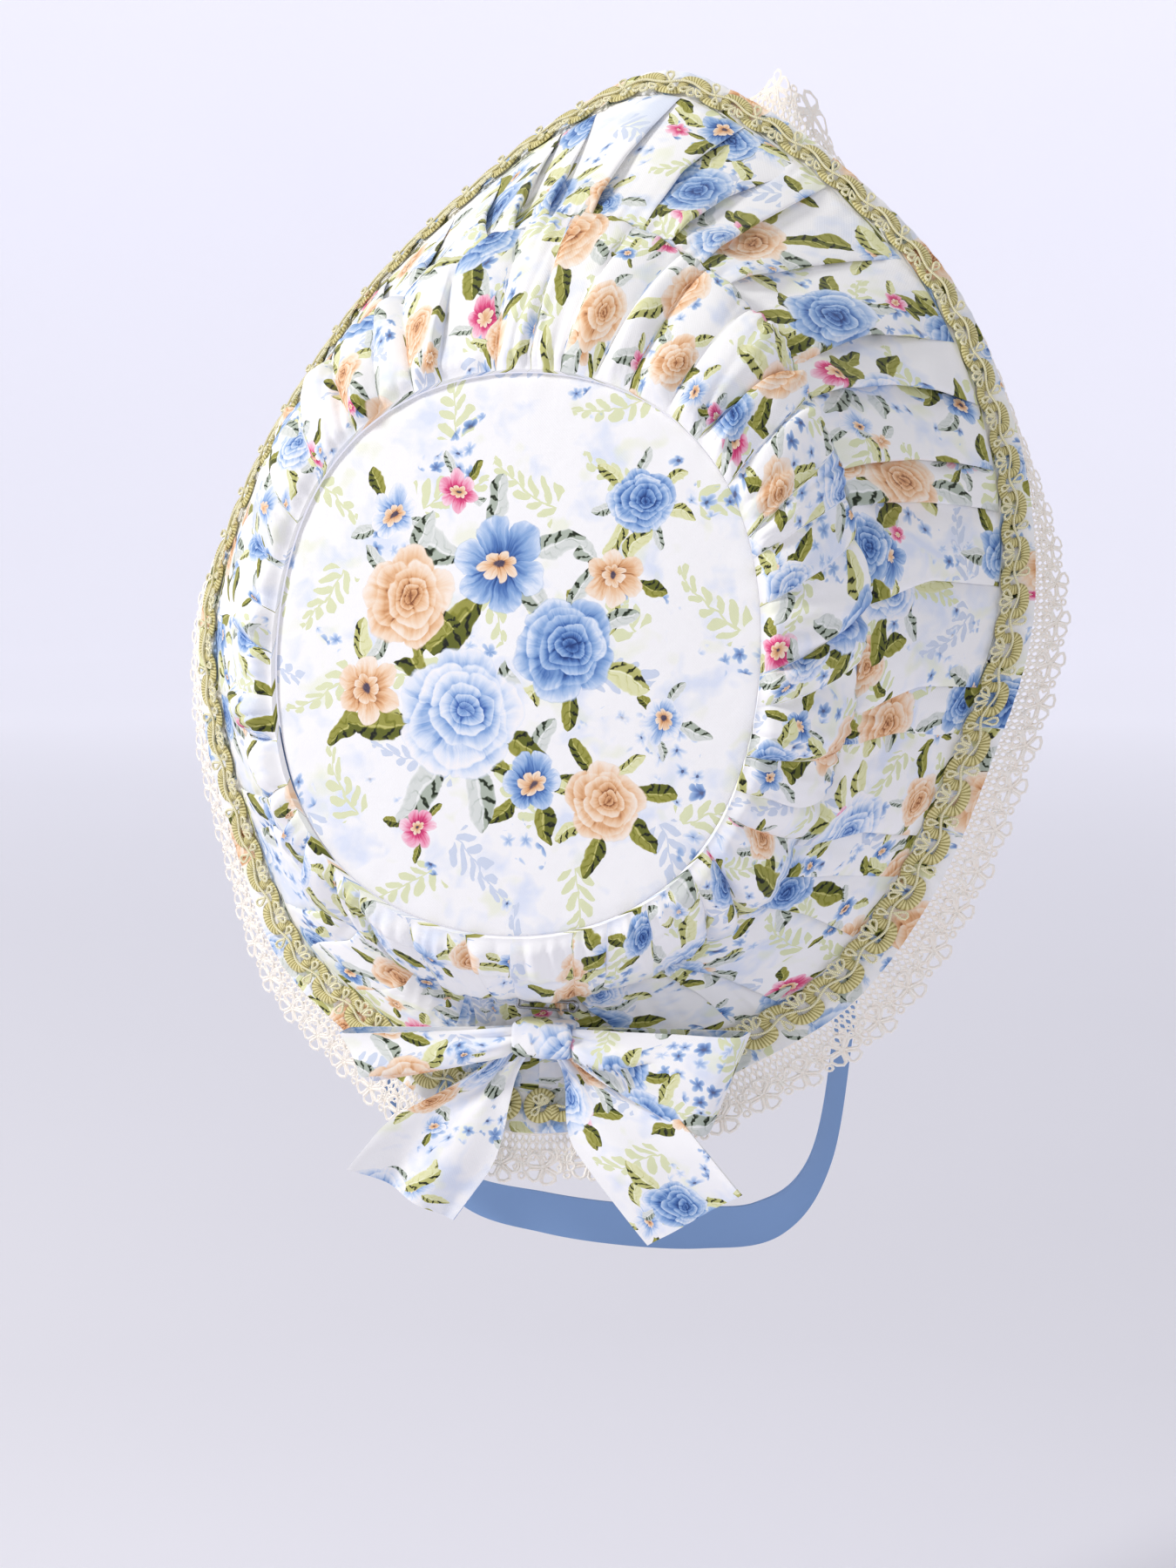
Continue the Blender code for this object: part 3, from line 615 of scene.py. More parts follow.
def paint_leaf_fan(colour, local, size, turn, count, length, share):
    """Leaves that point out of a middle: the angle is folded into sectors, and each holds one leaf."""
    radius, angle, _ = polar_place(local, size, turn)
    sector = angle * (count / (2.0 * math.pi))
    number = put("Math.ROUND", sector)
    luck = put("CombineXYZ", number % count, turn, 3.1)
    luck = put("TexWhiteNoise", luck, noise_dimensions="3D", out=1)
    first, second, third = parts(luck, "SeparateColor")
    inner = (sector - number + (first * 0.30 - 0.15)) * (2.0 * math.pi / count)
    reach = length * (second * 0.45 + 0.62)
    along = (radius * put("Math.COSINE", inner) - 0.72) / reach
    across = radius * put("Math.SINE", inner) / reach
    painted = stamp("leaf", colour, put("CombineXYZ", along, across, 0.0), third)
    return blend(first < share, colour, painted)


def paint_sprig(colour, local, size, turn, choice):
    """A bending stem with leaves in turn on either side, folded out of one leaf that leans along it."""
    local = put("VectorMath.DIVIDE", spun(local, turn), put("CombineXYZ", size, size, size))
    x, y, _ = parts(local)
    y = y + x * x * 0.28
    aside = abs(y)
    row = put("Math.FRACT", (y > 0.0) * 0.5 + (aside * -0.9 + x) * 5.0)
    along = aside / (x * -0.20 + 0.27)
    leaf = abs(row - 0.5) < lens_shape(along, 0.6) * 0.78
    here = put("Math.MAXIMUM", leaf, aside < 0.012) * (abs(x - 0.5) < 0.5)
    painted = blend(choice > 0.6, linear("#E2E6BC"), linear("#D3DCEC"))
    return blend(here, colour, painted)


PLACED = (("Colour", "Color"), ("Local", "Vector"), ("Size", "Float"), ("Turn", "Float"))
CHOSEN = PLACED + (("Choice", "Float"),)
MOTIFS = {
    "rose": (CHOSEN, paint_rose),
    "open_flower": (CHOSEN, paint_open_flower),
    "sprig": (CHOSEN, paint_sprig),
    "leaf_fan": (PLACED + (("Count", "Float"), ("Length", "Float"), ("Share", "Float")), paint_leaf_fan),
    "leaf": (PLACED[:2] + (("Luck", "Float"),), paint_leaf),
}
LEAVES_KEPT = 0.85  # the share of a fan's sectors that hold a leaf


def stamp(name, *values):
    """A motif over a colour, by a node group that is made once."""
    group = bpy.data.node_groups.get(name)
    if not group:
        inputs, paint = MOTIFS[name]
        group = bpy.data.node_groups.new(name, "ShaderNodeTree")
        for socket, kind in inputs:
            group.interface.new_socket(socket, in_out="INPUT", socket_type="NodeSocket" + kind)
        group.interface.new_socket("Colour", in_out="OUTPUT", socket_type="NodeSocketColor")
        entry, leave = group.nodes.new("NodeGroupInput"), group.nodes.new("NodeGroupOutput")
        painted = paint(*[Wire(socket) for socket in entry.outputs[:len(inputs)]])
        group.links.new(leave.inputs[0], painted.socket)
    return put("Group", *values, node_tree=group)


def motif_cells(point, spacing, randomness, offset):
    """Scatter: each cell gives the way from its own middle, three random numbers and a random turn."""
    shifted = moved(point, offset)
    middle = put("TexVoronoi", shifted, None, 1.0 / spacing, voronoi_dimensions="2D", out=2)
    cells = middle.socket.node
    cells.inputs["Randomness"].default_value = randomness
    luck = parts(Wire(cells.outputs["Color"]), "SeparateColor")
    return put("VectorMath.SUBTRACT", shifted, middle), luck, luck[0] * (2.0 * math.pi)


def washed_ground(point):
    """The printed cotton's white ground with lavender and pale green washes, soft blots of noise."""
    wash = mapped(noise(point, 0.045, 3.0, 0.6), 0.52, 0.66, 0.0, 0.85)
    ground = blend(wash, linear("#FBFAF9"), linear("#DFE7F7"))
    green = noise(moved(point, (310.0, 90.0, 0.0)), 0.06)
    return blend(mapped(green, 0.58, 0.68, 0.0, 0.6), ground, linear("#EFF2D6"))


def blossom_drift(colour, point, spacing, offset, limit):
    """Little five-petalled flowers packed together, where a broad noise stands over a limit."""
    local, luck, turn = motif_cells(point, spacing, 0.55, offset)
    radius, angle, _ = polar_place(local, spacing * 0.46, turn)
    share = radius / (abs(put("Math.SINE", angle * 2.5)) * 0.42 + 0.58)
    drift = noise(moved(point, offset), 0.035)
    inside = mapped(share, 1.0, 0.88, 0.0, 1.0) * mapped(drift, limit, limit + 0.01, 0.0, 0.92)
    tone = mapped(share, 0.15, 0.9, 0.78, 0.12) + (luck[1] * 0.3 - 0.1)
    painted = pick_paint(tone, luck[2] * 0.5, FLOWER_PAINTS)
    painted = blend(mapped(radius, 0.22, 0.16, 0.0, 1.0), painted, linear("#3C4C7C"))
    return blend(inside, colour, painted)


def sprig_scatter(colour, point, spacing, size, offset, share):
    """Pale sprigs, one to a cell, each turned its own way about its own middle."""
    local, luck, turn = motif_cells(point, spacing, 0.55, offset)
    local = moved(local, scaled(spun((0.45, 0.0, 0.0), turn * -1.0), size))
    return blend(luck[2] < share, colour, stamp("sprig", colour, local, size, turn, luck[1]))


def painterly(point):
    """Places nudged by noise, so that a motif's edge wavers like a brush's."""
    for scale, reach in ((0.085, 7.0), (0.45, 1.1)):
        wobble = put("VectorMath.SUBTRACT", noise(point, scale, 1.0, out=1), (0.5, 0.5, 0.5))
        point = moved(point, scaled(wobble, reach))
    return point


def cloth_millimetres(material):
    """The piece's own cloth map, in millimetres."""
    return scaled(put("UVMap", tree=material.node_tree, uv_map="cloth"), 1000.0)


OPEN_FLOWERS = (
    # spacing, size, leaves, offset, share of cells kept
    (40.0, 6.8, 4.0, (57.0, 33.0, 0.0), 0.75),
    (33.0, 4.0, 3.0, (9.0, 61.0, 0.0), 0.5),
)
ROSES = (
    # spacing, size, leaves, offset, share of cells kept
    (50.0, 10.0, 5.0, (23.0, 91.0, 0.0), 0.85),
    (66.0, 14.5, 7.0, (5.0, 29.0, 0.0), 1.1),
)


def allover_print(point, scale):
    """The all-over print, bottom to top: washes, sprigs, drifts of blossom, open flowers, roses."""
    point = painterly(scaled(point, 1.0 / scale))
    colour = sprig_scatter(washed_ground(point), point, 29.0, 24.0, (11.0, 47.0, 0.0), 0.80)
    colour = blossom_drift(colour, point, 6.4, (71.0, 13.0, 0.0), 0.57)
    for spacing, size, leaves, offset, share in OPEN_FLOWERS:
        local, luck, turn = motif_cells(point, spacing, 0.35, offset)
        painted = stamp("leaf_fan", colour, local, size, turn, leaves, 1.70, LEAVES_KEPT)
        painted = stamp("open_flower", painted, local, size, turn, luck[2])
        colour = blend(luck[1] < share, colour, painted)
    for spacing, size, leaves, offset, share in ROSES:
        local, luck, turn = motif_cells(point, spacing, 0.28, offset)
        painted = stamp("leaf_fan", colour, local, size, turn, leaves, 1.30, LEAVES_KEPT)
        painted = stamp("rose", painted, local, luck[1] * (0.2 * size) + 0.9 * size, turn, luck[2] * 0.74)
        colour = blend(luck[1] < share, colour, painted)
    return colour


PANEL_ROSES = (
    # side and height of its middle in mm, size, turn, paint
    (-16.0, -22.0, 24.0, 0.3, 0.30),
    (22.0, 2.0, 19.0, 2.2, 0.10),
    (-38.0, 18.0, 18.0, 4.0, 0.60),
    (46.0, 54.0, 12.0, 1.1, 0.10),
    (38.0, -50.0, 14.5, 5.2, 0.60),
)
PANEL_OPEN_FLOWERS = (
    # side and height of its middle in mm, size, turn, paint
    (-4.0, 30.0, 18.0, 0.8, 0.10),
    (-52.0, -14.0, 13.0, 2.0, 0.60),
    (12.0, -44.0, 11.0, 3.6, 0.10),
    (38.0, 27.0, 11.0, 5.1, 0.60),
    (-22.0, 56.0, 7.5, 2.9, 0.80),
    (-46.0, 48.0, 9.0, 0.2, 0.30),
    (58.0, -22.0, 8.0, 1.4, 0.30),
    (-30.0, -62.0, 7.0, 0.6, 0.80),
)


def nearest(point, rows):
    """Of a list of motifs, the one whose edge is nearest: the way from its middle, size, turn and paint."""
    best = None
    for side, height, size, turn, paint in rows:
        local = put("VectorMath.SUBTRACT", point, (side, height, 0.0))
        far = put("VectorMath.LENGTH", local, out=1) / size
        row = put("CombineXYZ", size, turn, paint, tree=point.tree)
        if best:
            closer = far < best[0]
            local, row = (
                put("Mix", closer, None, None, None, old, new, data_type="VECTOR", out=1)
                for old, new in zip(best[1:], (local, row))
            )
            far = put("Math.MINIMUM", far, best[0])
        best = far, local, row
    return best[1], *parts(best[2])


def panel_print(point):
    """The back panel's own layout: a crescent of roses and open flowers on leaves, with loose sprays."""
    point = painterly(point)
    colour = sprig_scatter(washed_ground(point), point, 34.0, 29.0, (7.0, 19.0, 0.0), 0.85)
    colour = blossom_drift(colour, point, 6.8, (33.0, 157.0, 0.0), 0.60)
    flower = nearest(point, PANEL_OPEN_FLOWERS)
    colour = stamp("leaf_fan", colour, *flower[:3], 5.0, 1.45, LEAVES_KEPT)
    roses = nearest(point, PANEL_ROSES)
    colour = stamp("leaf_fan", colour, *roses[:3], 7.0, 1.15, LEAVES_KEPT)
    return stamp("rose", stamp("open_flower", colour, *flower), *roses)


THREAD = 0.5  # mm: a real thread of 0.25 mm, drawn twice as wide to show


def woven(material, colour):
    """Finish a cloth: plain weave as a chequer of rounded bumps, and a soft crumple."""
    point = cloth_millimetres(material)
    x, y, _ = parts(put("VectorMath.SINE", scaled(point, math.pi / THREAD)))
    height = noise(point, 0.10, 3.0, 0.55) * 8.0 + x * y * 0.4
    return finish(material, colour, height, 0.12, 0.0006)


def printed_cotton(name, paint):
    """Cotton lawn, woven, bleached and screen printed: matt, a faint sheen of fibre, ink dry on it."""
    sheen = {"Sheen Weight": 0.12, "Sheen Roughness": 0.5, "Specular IOR Level": 0.3}
    material = new_material(name, "#FAF9F8", 0.80, **sheen)
    return woven(material, paint(cloth_millimetres(material)))


def lining_cotton():
    """White cotton lining, woven and unprinted: matt with a little blue in its shade."""
    material = new_material("lining_cotton", "#F6F5F4", 0.85, **{"Sheen Weight": 0.1})
    tint = noise(cloth_millimetres(material), 0.05, 3.0)
    return woven(material, put("ValToRGB", tint, stops=((0.3, "#F2F1F4"), (0.7, "#FAF9F6"))))


def object_place(material):
    """A place in the object's own coordinates, in metres."""
    return put("TexCoord", tree=material.node_tree, out=3)


def wound_cord(name, light, middle, dark, turns_per_mm, roughness):
    """Rayon thread wound round a core: ribs square to the cord, with a painted highlight on their crowns and
    painted shade between them.
    """
    material = new_material(name, middle, roughness, **{"Sheen Weight": 0.2})
    along, _, _ = parts(cloth_millimetres(material))
    rib_and_shade = put("Math.PINGPONG", along * turns_per_mm, 0.5) * 2.0
    tone = (noise(object_place(material), 420.0, roughness=0.6) - 0.5) * 0.5 + rib_and_shade
    # Painted highlight and shade: the light colour on the ribs' crowns, the dark one in the grooves between
    # them
    colour = put("ValToRGB", tone, stops=((0.05, dark), (0.45, middle), (0.95, light)))
    return finish(material, colour, rib_and_shade, 0.5, 0.0004)


def gimp_cord():
    """The gimp's thick cord."""
    # Colours: painted highlight, middle, painted shade
    return wound_cord("gimp_cord", "#EEE4A8", "#D2C681", "#958746", 0.9, 0.55)


def gimp_gilt():
    """The thin brighter cord over it."""
    # Colours: painted highlight, middle, painted shade
    return wound_cord("gimp_gilt", "#FFFCE0", "#FBF4C6", "#E2D698", 1.6, 0.36)


def ivory_guipure():
    """Guipure of cotton thread, stitched on a film that is washed away: soft, creamy, stitches raised."""
    material = new_material("ivory_guipure", "#F7EEE2", 0.75, **{"Sheen Weight": 0.2})
    fibre = noise(object_place(material), 900.0, roughness=0.6)
    colour = put("ValToRGB", fibre, stops=((0.30, "#FFF4E6"), (0.60, "#FFFBF2")))
    return finish(material, colour, fibre, 0.35, 0.0004)


def blue_satin():
    """Polyester satin ribbon, woven with long floats: glossy along its length, with streaks of painted sheen
    in its colour, and paler selvages.
    """
    material = new_material("blue_satin", "#7795C8", 0.32, **{"Sheen Weight": 0.25, "Anisotropic": 0.6})
    point = cloth_millimetres(material)
    floats_and_sheen = noise(put("VectorMath.MULTIPLY", point, (0.15, 3.0, 1.0)), 1.4)
    # Painted sheen: lighter and darker blue streaks along the length, from the noise that also gives the
    # floats' bump
    colour = put("ValToRGB", floats_and_sheen, stops=((0.3, "#6384B8"), (0.7, "#84A4D6")))
    selvage = mapped(abs(parts(point)[1]), 7.9, 8.1, 0.0, 0.55)
    return finish(material, blend(selvage, colour, linear("#A9C0E4")), floats_and_sheen, 0.12, 0.0003)


def plated_steel():
    """Nickel-plated steel wire, drawn and bent: bright, with faint drawing marks."""
    material = new_material("plated_steel", "#A6A7AC", 0.22, 1.0)
    tree = material.node_tree
    marks = mapped(noise(object_place(material), 1500.0, roughness=0.6), 0.3, 0.7, 0.16, 0.30)
    tree.links.new(tree.nodes["Principled BSDF"].inputs["Roughness"], marks.socket)
    return material


def background_paper():
    """Matt background paper, unmarked: pale and even, with a trace of lavender, and a painted glow by
    emission that grows from dim near the middle to bright far off, where no lamp is.
    """
    material = new_material("background_paper", "#EAE9F1", 0.9, **{"Emission Strength": 0.46})
    tree = material.node_tree
    place = object_place(material)
    # Painted light: the paper glows by its own emission, dim grey near the middle, pale lavender-white far
    # off
    far = mapped(put("VectorMath.LENGTH", place, out=1), 0.8, 3.4, 0.0, 1.0)
    painted_glow = blend(far, linear("#4C4C54"), linear("#F0F0FF"))
    tree.links.new(tree.nodes["Principled BSDF"].inputs["Emission Color"], painted_glow.socket)
    return finish(material, put("ValToRGB", noise(place, 2.0), stops=((0.2, "#E8E7EF"), (0.8, "#EBEAF2"))))


def once(make):
    """The material that a function makes, which is made the first time that it is asked for."""
    return bpy.data.materials.get(make.__name__) or make()


def allover_cotton():
    """The printed cotton of crown, brim and bow."""
    scale = bpy.context.scene.bonnet_sizes.print_scale
    return printed_cotton("allover_cotton", lambda point: allover_print(point, scale))


def panel_cotton():
    """The printed cotton of the back panel."""
    return printed_cotton("panel_cotton", panel_print)


# Back panel

def panel_grids():
    """Outer and inner face of the panel: rings of the egg, on a dome of one less the share squared."""
    share = np.linspace(0.0, 1.0, 45)[None, :]
    turns = np.arange(161) / 160.0
    back = np.array([0.0, -math.cos(PANEL_LEAN), math.sin(PANEL_LEAN)])
    flat = panel_outline(turns)[:, None, :] * share[..., None]
    half = PANEL_WIDTH / 2.0
    sag = 0.0005 * np.sin(flat[..., 0] / half * 3.1 + 1.0) * np.cos(flat[..., 2] / half * 2.7)
    pull = 0.00035 * np.sin(2.0 * math.pi * 38.0 * turns + 2.0 * np.sin(2.0 * math.pi * 5.0 * turns))
    pull = pull[:, None] * smooth_step((share - 0.82) / 0.15)
    roll = -0.0007 * smooth_step((share - 0.965) / 0.035)
    plain = PANEL_DOME * (1.0 - share**2)
    dome = plain + sag * (1.0 - share**4) + pull * (1.0 - share**12) + roll
    outer = ORIGIN + flat + back * dome[..., None]
    inner = ORIGIN + flat + back * (plain - WALL)[..., None]
    tall = flat[..., 2] / math.cos(PANEL_LEAN)
    uv = np.stack([flat[..., 0], tall], axis=-1)
    return outer, inner, uv


class BONNET_OT_back_panel(bpy.types.Operator):
    """The smooth egg-shaped back panel with its own bouquet print"""
    bl_idname = "bonnet.back_panel"
    bl_label = "Back panel"

    def execute(self, context):
        outer, inner, uv = panel_grids()
        rim = np.stack([outer[:, -1], inner[:, -1]], axis=1)
        rim_uv = np.stack([uv[:, -1], uv[:, -1]], axis=1)
        parts = [grid_part(outer, uv), grid_part(inner, uv, False, True, 1), grid_part(rim, rim_uv)]
        piece = mesh_piece("panel_cloth", parts, [once(panel_cotton), once(lining_cotton)])
        dress(piece, ["back_panel"])
        return {"FINISHED"}


# Crown band

def puckers(turns, share_in, count, reach_mm, seed):
    """Small gathers at a stitched line: a rectified sine, each fading from the line by its own length."""
    draw = np.random.default_rng(seed)
    angle = 2.0 * math.pi * turns
    phase = turns * count + 0.8 * np.sin(7.0 * angle) + 0.5 * np.sin(17.0 * angle)
    number = np.floor(phase).astype(int) % count
    strength = draw.uniform(0.35, 1.0, count)[number]
    length = draw.uniform(0.5, 1.6, count)[number] * reach_mm / 1000.0
    return strength * np.abs(np.sin(math.pi * phase)) ** 0.8 * np.exp(-((share_in / length) ** 1.5))


ROWS_ACROSS = 34  # stations from seam to seam, on crown and brim alike
CROWN_STEPS = 22  # stations round one crown fold
CROWN_HIDES = 0.0088  # length of cloth that each crown fold hides in its valley
DRAPE_HEIGHT = 0.0030  # how far the drapes at the nape stand
CROWN_PUCKERS = (
    # seam (0 at the panel, 1 at the brim), height, how many, reach in mm, seed
    (0, 0.0019, 66, 24.0, 13),
    (1, 0.0018, 74, 22.0, 17),
    (0, 0.0012, 128, 9.0, 3),
    (1, 0.0015, 148, 11.0, 5),
)


def eased_shares(count):
    """Shares from 0 to 1, closer together at both ends."""
    even = np.linspace(0.0, 1.0, count)
    return 0.45 * even + 0.55 * (1.0 - np.cos(math.pi * even)) / 2.0


def crown_grids(sizes):
    """Rounded folds between soft valleys, each a power of half a sine, with slanting drapes at the nape."""
    draw = np.random.default_rng(11)
    folds = sizes.crown_folds
    starts = fold_starts(folds)
    width = 1.0 / folds
    fold = np.repeat(np.arange(folds), CROWN_STEPS)
    place = np.tile(np.arange(CROWN_STEPS) / CROWN_STEPS, folds)[:, None]
    share = eased_shares(ROWS_ACROSS)[None, :]
    drift = 0.8 * np.sin(2.0 * math.pi * 3.0 * starts[:-1]) + draw.uniform(-0.35, 0.35, folds)
    drift = np.append(drift, drift[0]) * width
    left = starts[fold][:, None] + drift[fold][:, None] * (share - 0.5)
    right = starts[fold + 1][:, None] + drift[fold + 1][:, None] * (share - 0.5)
    top = draw.uniform(0.60, 1.15, folds)
    swell = 1.0 + 0.30 * np.sin(2.0 * math.pi * (0.9 * share + draw.random(folds)[fold][:, None]))
    valley = np.where(draw.random(folds) < 0.45, draw.uniform(0.35, 0.65, folds), 0.06)
    valley = np.append(valley, valley[0])
    deep = 0.55 + 0.45 * np.sin(2.0 * math.pi * (share + draw.random(folds)[fold][:, None]))
    low = valley[fold][:, None] * (1.0 - place) + valley[fold + 1][:, None] * place
    low = low * np.clip(deep + 0.3, 0.0, 1.0) * np.sin(math.pi * np.clip(share, 0.02, 0.98)) ** 0.5
    round_top = np.sin(math.pi * np.clip(place, 0.0, 1.0)) ** 0.72
    height = low + (top[fold][:, None] * swell - low) * round_top
    lean = draw.uniform(-0.42, 0.42, folds)[fold][:, None]
    around = left + (right - left) * place + lean * width * round_top**2 * np.sin(math.pi * share)
    span = band_span(around)
    from_panel, from_brim = share * span, (1.0 - share) * span
    nape = 1.0 - smooth_step((np.abs(around - 0.5) - 0.05) / 0.09)
    rolled = smooth_step(from_panel / 0.0042) * smooth_step(from_brim / (0.0036 + 0.0100 * nape))
    fullness = 0.50 + 0.50 * (1.0 - np.abs(2.0 * share - 1.0) ** 3.6)
    drape = (2.3 * share + 5.0 * np.abs(around - 0.47)) % 1.0
    drape = drape**1.4 * (1.0 - smooth_step((drape - 0.86) / 0.14))
    rise = sizes.crown_fold_height * (2.0 - 1.4 * nape) * height * fullness
    rise = rise + DRAPE_HEIGHT * nape * drape * fullness
    for seam, high, count, reach_mm, seed in CROWN_PUCKERS:
        rise = rise + high * puckers(around, (from_panel, from_brim)[seam], count, reach_mm, seed)
    rise = rise * (0.12 + 0.88 * rolled)
    seam_reach = GAP / band_span(around[:, -1:])
    reach = share * (1.0 - seam_reach)
    outer = lifted(around, reach, WALL + rise)
    even = np.arange(folds * CROWN_STEPS)[:, None] / (folds * CROWN_STEPS) + 0.0 * share
    even = np.interp(even, np.arange(folds + 1) / folds, starts)
    inner = lifted(even, reach, 0.0)
    return outer, inner, fold


def cloth_map(outer, fold, hidden):
    """Cloth places: length round a middle row, plus what each fold hides, and length across."""
    ring = np.concatenate([outer, outer[:1]], axis=0)
    row = (outer.shape[1] - 1) // 2
    along = lengths_along(ring[:, row:row + 1], 0)[:, 0]
    along = along + hidden * np.append(fold, fold[-1] + 1)
    across = lengths_along(outer, 1).mean(axis=0)
    return np.stack(np.broadcast_arrays(along[:, None], across[None, :]), axis=-1)


class BONNET_OT_crown_band(bpy.types.Operator):
    """The ruched band between back panel and brim"""
    bl_idname = "bonnet.crown_band"
    bl_label = "Crown band"

    def execute(self, context):
        outer, inner, fold = crown_grids(context.scene.bonnet_sizes)
        uv = cloth_map(outer, fold, CROWN_HIDES)
        parts = wall_parts(outer, inner, uv, uv, True, 1)
        piece = mesh_piece("crown_cloth", parts, [once(allover_cotton), once(lining_cotton)])
        dress(piece, ["crown_band"])
        return {"FINISHED"}


# Brim

def pleat_path(overlap):
    """One knife pleat along its cloth: up its face, round its lip and back beneath; places and heights."""
    face = np.linspace(0.0, 1.0, 20)[:-1]
    face_height = 0.05 + 0.95 * smooth_step(face * 0.95) ** 0.75
    turn = np.linspace(0.0, math.pi, 6)
    lip_place = 1.0 + 0.35 * np.sin(turn) * overlap[..., None]
    lip_height = 0.80 + 0.20 * np.cos(turn)
    back = np.linspace(0.0, 1.0, 5)[1:-1]
    lead = np.ones(overlap.shape + (1,))
    places = np.concatenate([
        face * (1.0 + overlap[..., None]),
        lip_place + overlap[..., None],
        (1.0 + overlap[..., None]) - overlap[..., None] * back,
    ], axis=-1)
    heights = np.concatenate([face_height * lead, lip_height * lead, (0.60 - 0.45 * back) * lead], axis=-1)
    return places, heights


BRIM_HIDES = 0.0110  # length of cloth that each pleat hides under its lip
BRIM_PRINT_FROM = (0.31, 0.17)  # where on the printed cloth the brim's strip starts
BRIM_FULLNESS = (
    # how far out as shares of the pleated part, and how full the pleats are there
    (0.0, 0.06, 0.14, 0.35, 0.75, 1.0),
    (0.08, 0.45, 1.0, 0.95, 0.75, 0.10),
)
EDGE_SHARES = np.array([[0.15, 0.5, 0.85, 1.0]])  # stations across the flat edge under the braid


def pleated_reach(turns, share):
    """The reach of a share of the brim's pleated part, and how long that part is."""
    span = brim_span(turns)
    flat = 2.0 - (GIMP_SET_IN + GIMP_WIDTH) / span
    start = 1.0 + GAP / span
    return start + (flat - start) * share, (flat - start) * span


def brim_grids(sizes):
    """Knife pleats from the crown's seam to the braid, each with its own height, slant and overlap."""
    draw = np.random.default_rng(23)
    pleats = sizes.brim_pleats
    starts = fold_starts(pleats)
    width = 1.0 / pleats
    share = eased_shares(ROWS_ACROSS)
    lap = draw.uniform(0.10, 0.38, pleats)
    ease = 0.45 + 0.55 * np.abs(2.0 * share - 1.0) ** 1.2
    places, heights = pleat_path(lap[:, None] * ease[None, :])
    places, heights = np.swapaxes(places, 1, 2), np.swapaxes(heights, 1, 2)
    count = places.shape[1]
    fold = np.repeat(np.arange(pleats), count)
    places, heights = places.reshape(-1, len(share)), heights.reshape(-1, len(share))
    share = share[None, :]
    drift = 0.7 * np.sin(2.0 * math.pi * 2.0 * starts[:-1]) + draw.uniform(-0.30, 0.30, pleats)
    drift = (np.append(drift, drift[0]) * width * (share.T - 0.72)).T
    left = starts[fold][:, None] + drift[fold]
    right = starts[fold + 1][:, None] + drift[fold + 1]
    around = left + (right - left) * places
    strength = draw.uniform(0.60, 1.25, pleats)[fold][:, None]
    strength = strength * (1.0 - 0.75 * (draw.random(pleats) < 0.35)[fold][:, None] * share)
    phase = 2.0 * math.pi * (share + draw.random(pleats)[fold][:, None])
    strength = strength * (1.0 + 0.18 * np.sin(phase))
    fullness = np.interp(share, *BRIM_FULLNESS)
    by_nape = 1.0 - smooth_step((np.abs(around - 0.5) - 0.055) / 0.06)
    rise = sizes.brim_pleat_height * (1.7 - 0.80 * by_nape) * heights * strength * fullness
    reach, pleated = pleated_reach(around, share)
    rise = rise + 0.0016 * puckers(around, share * pleated, 150, 16.0, 7)
    near_braid = (1.0 - share) * pleated
    rise = rise + 0.0008 * puckers(around, near_braid, 210, 8.0, 9) * smooth_step(near_braid / 0.003)
    tight = np.abs((around * pleats * 3.3) % 1.0 - 0.3)
    rise = rise + 0.0018 * by_nape * tight * fullness
    even = (starts[fold] + np.diff(starts)[fold] * np.tile(np.arange(count) / count, pleats))[:, None]
    border = np.repeat(even, EDGE_SHARES.shape[1], axis=1)
    edge_start = 2.0 - (GIMP_SET_IN + GIMP_WIDTH) / brim_span(border)
    edge_reach = edge_start + (2.0 - edge_start) * EDGE_SHARES
    outer_edge = lifted(border, edge_reach, WALL + 0.0002 * np.sin(border * 900.0))
    outer = np.concatenate([lifted(around, reach, WALL + rise), outer_edge], axis=1)
    plain = 0.0 * share + even
    inner = lifted(plain, pleated_reach(plain, share)[0], 0.0)
    inner = np.concatenate([inner, lifted(border, edge_reach, 0.0)], axis=1)
    return outer, inner, fold


class BONNET_OT_brim(bpy.types.Operator):
    """The knife-pleated brim"""
    bl_idname = "bonnet.brim"
    bl_label = "Brim"

    def execute(self, context):
        outer, inner, fold = brim_grids(context.scene.bonnet_sizes)
        uv = cloth_map(outer, fold, BRIM_HIDES) + BRIM_PRINT_FROM
        parts = wall_parts(outer, inner, uv, uv, True, 1)
        piece = mesh_piece("brim_cloth", parts, [once(allover_cotton), once(lining_cotton)])
        dress(piece, ["brim"])
        return {"FINISHED"}


# Trims laid out flat, then carried round the edge

def edge_turns(line, first, last, samples=3000):
    """Turns and running lengths of a line round the bonnet, from one turn to another."""
    turns = np.linspace(first, last, samples)
    return turns, lengths_along(line(turns)[:, None, :], 0)[:, 0]


def braid_line(turns):
    """The middle of the braid on the brim."""
    return lifted(turns, 2.0 - (GIMP_SET_IN + GIMP_WIDTH / 2.0) / brim_span(turns), WALL)


def lay_braid(flat, turns, length):
    """Flat places (along, out from the braid's inner line, up) onto the brim."""
    place = np.interp(flat[..., 0], length, turns)
    out = GIMP_SET_IN + GIMP_WIDTH - flat[..., 1]
    return lifted(place, 2.0 - out / brim_span(place), WALL + GIMP_SEAT + flat[..., 2])


CORE_HIGH, OVERLAY_HIGH = 0.0009, 0.00215  # the middles of the thick cord and of the gilt one over the seat
CORE_FROM, OVERLAY_FROM, COIL_FROM = 0.0125, 0.0120, 0.0063  # how far from the ends they start


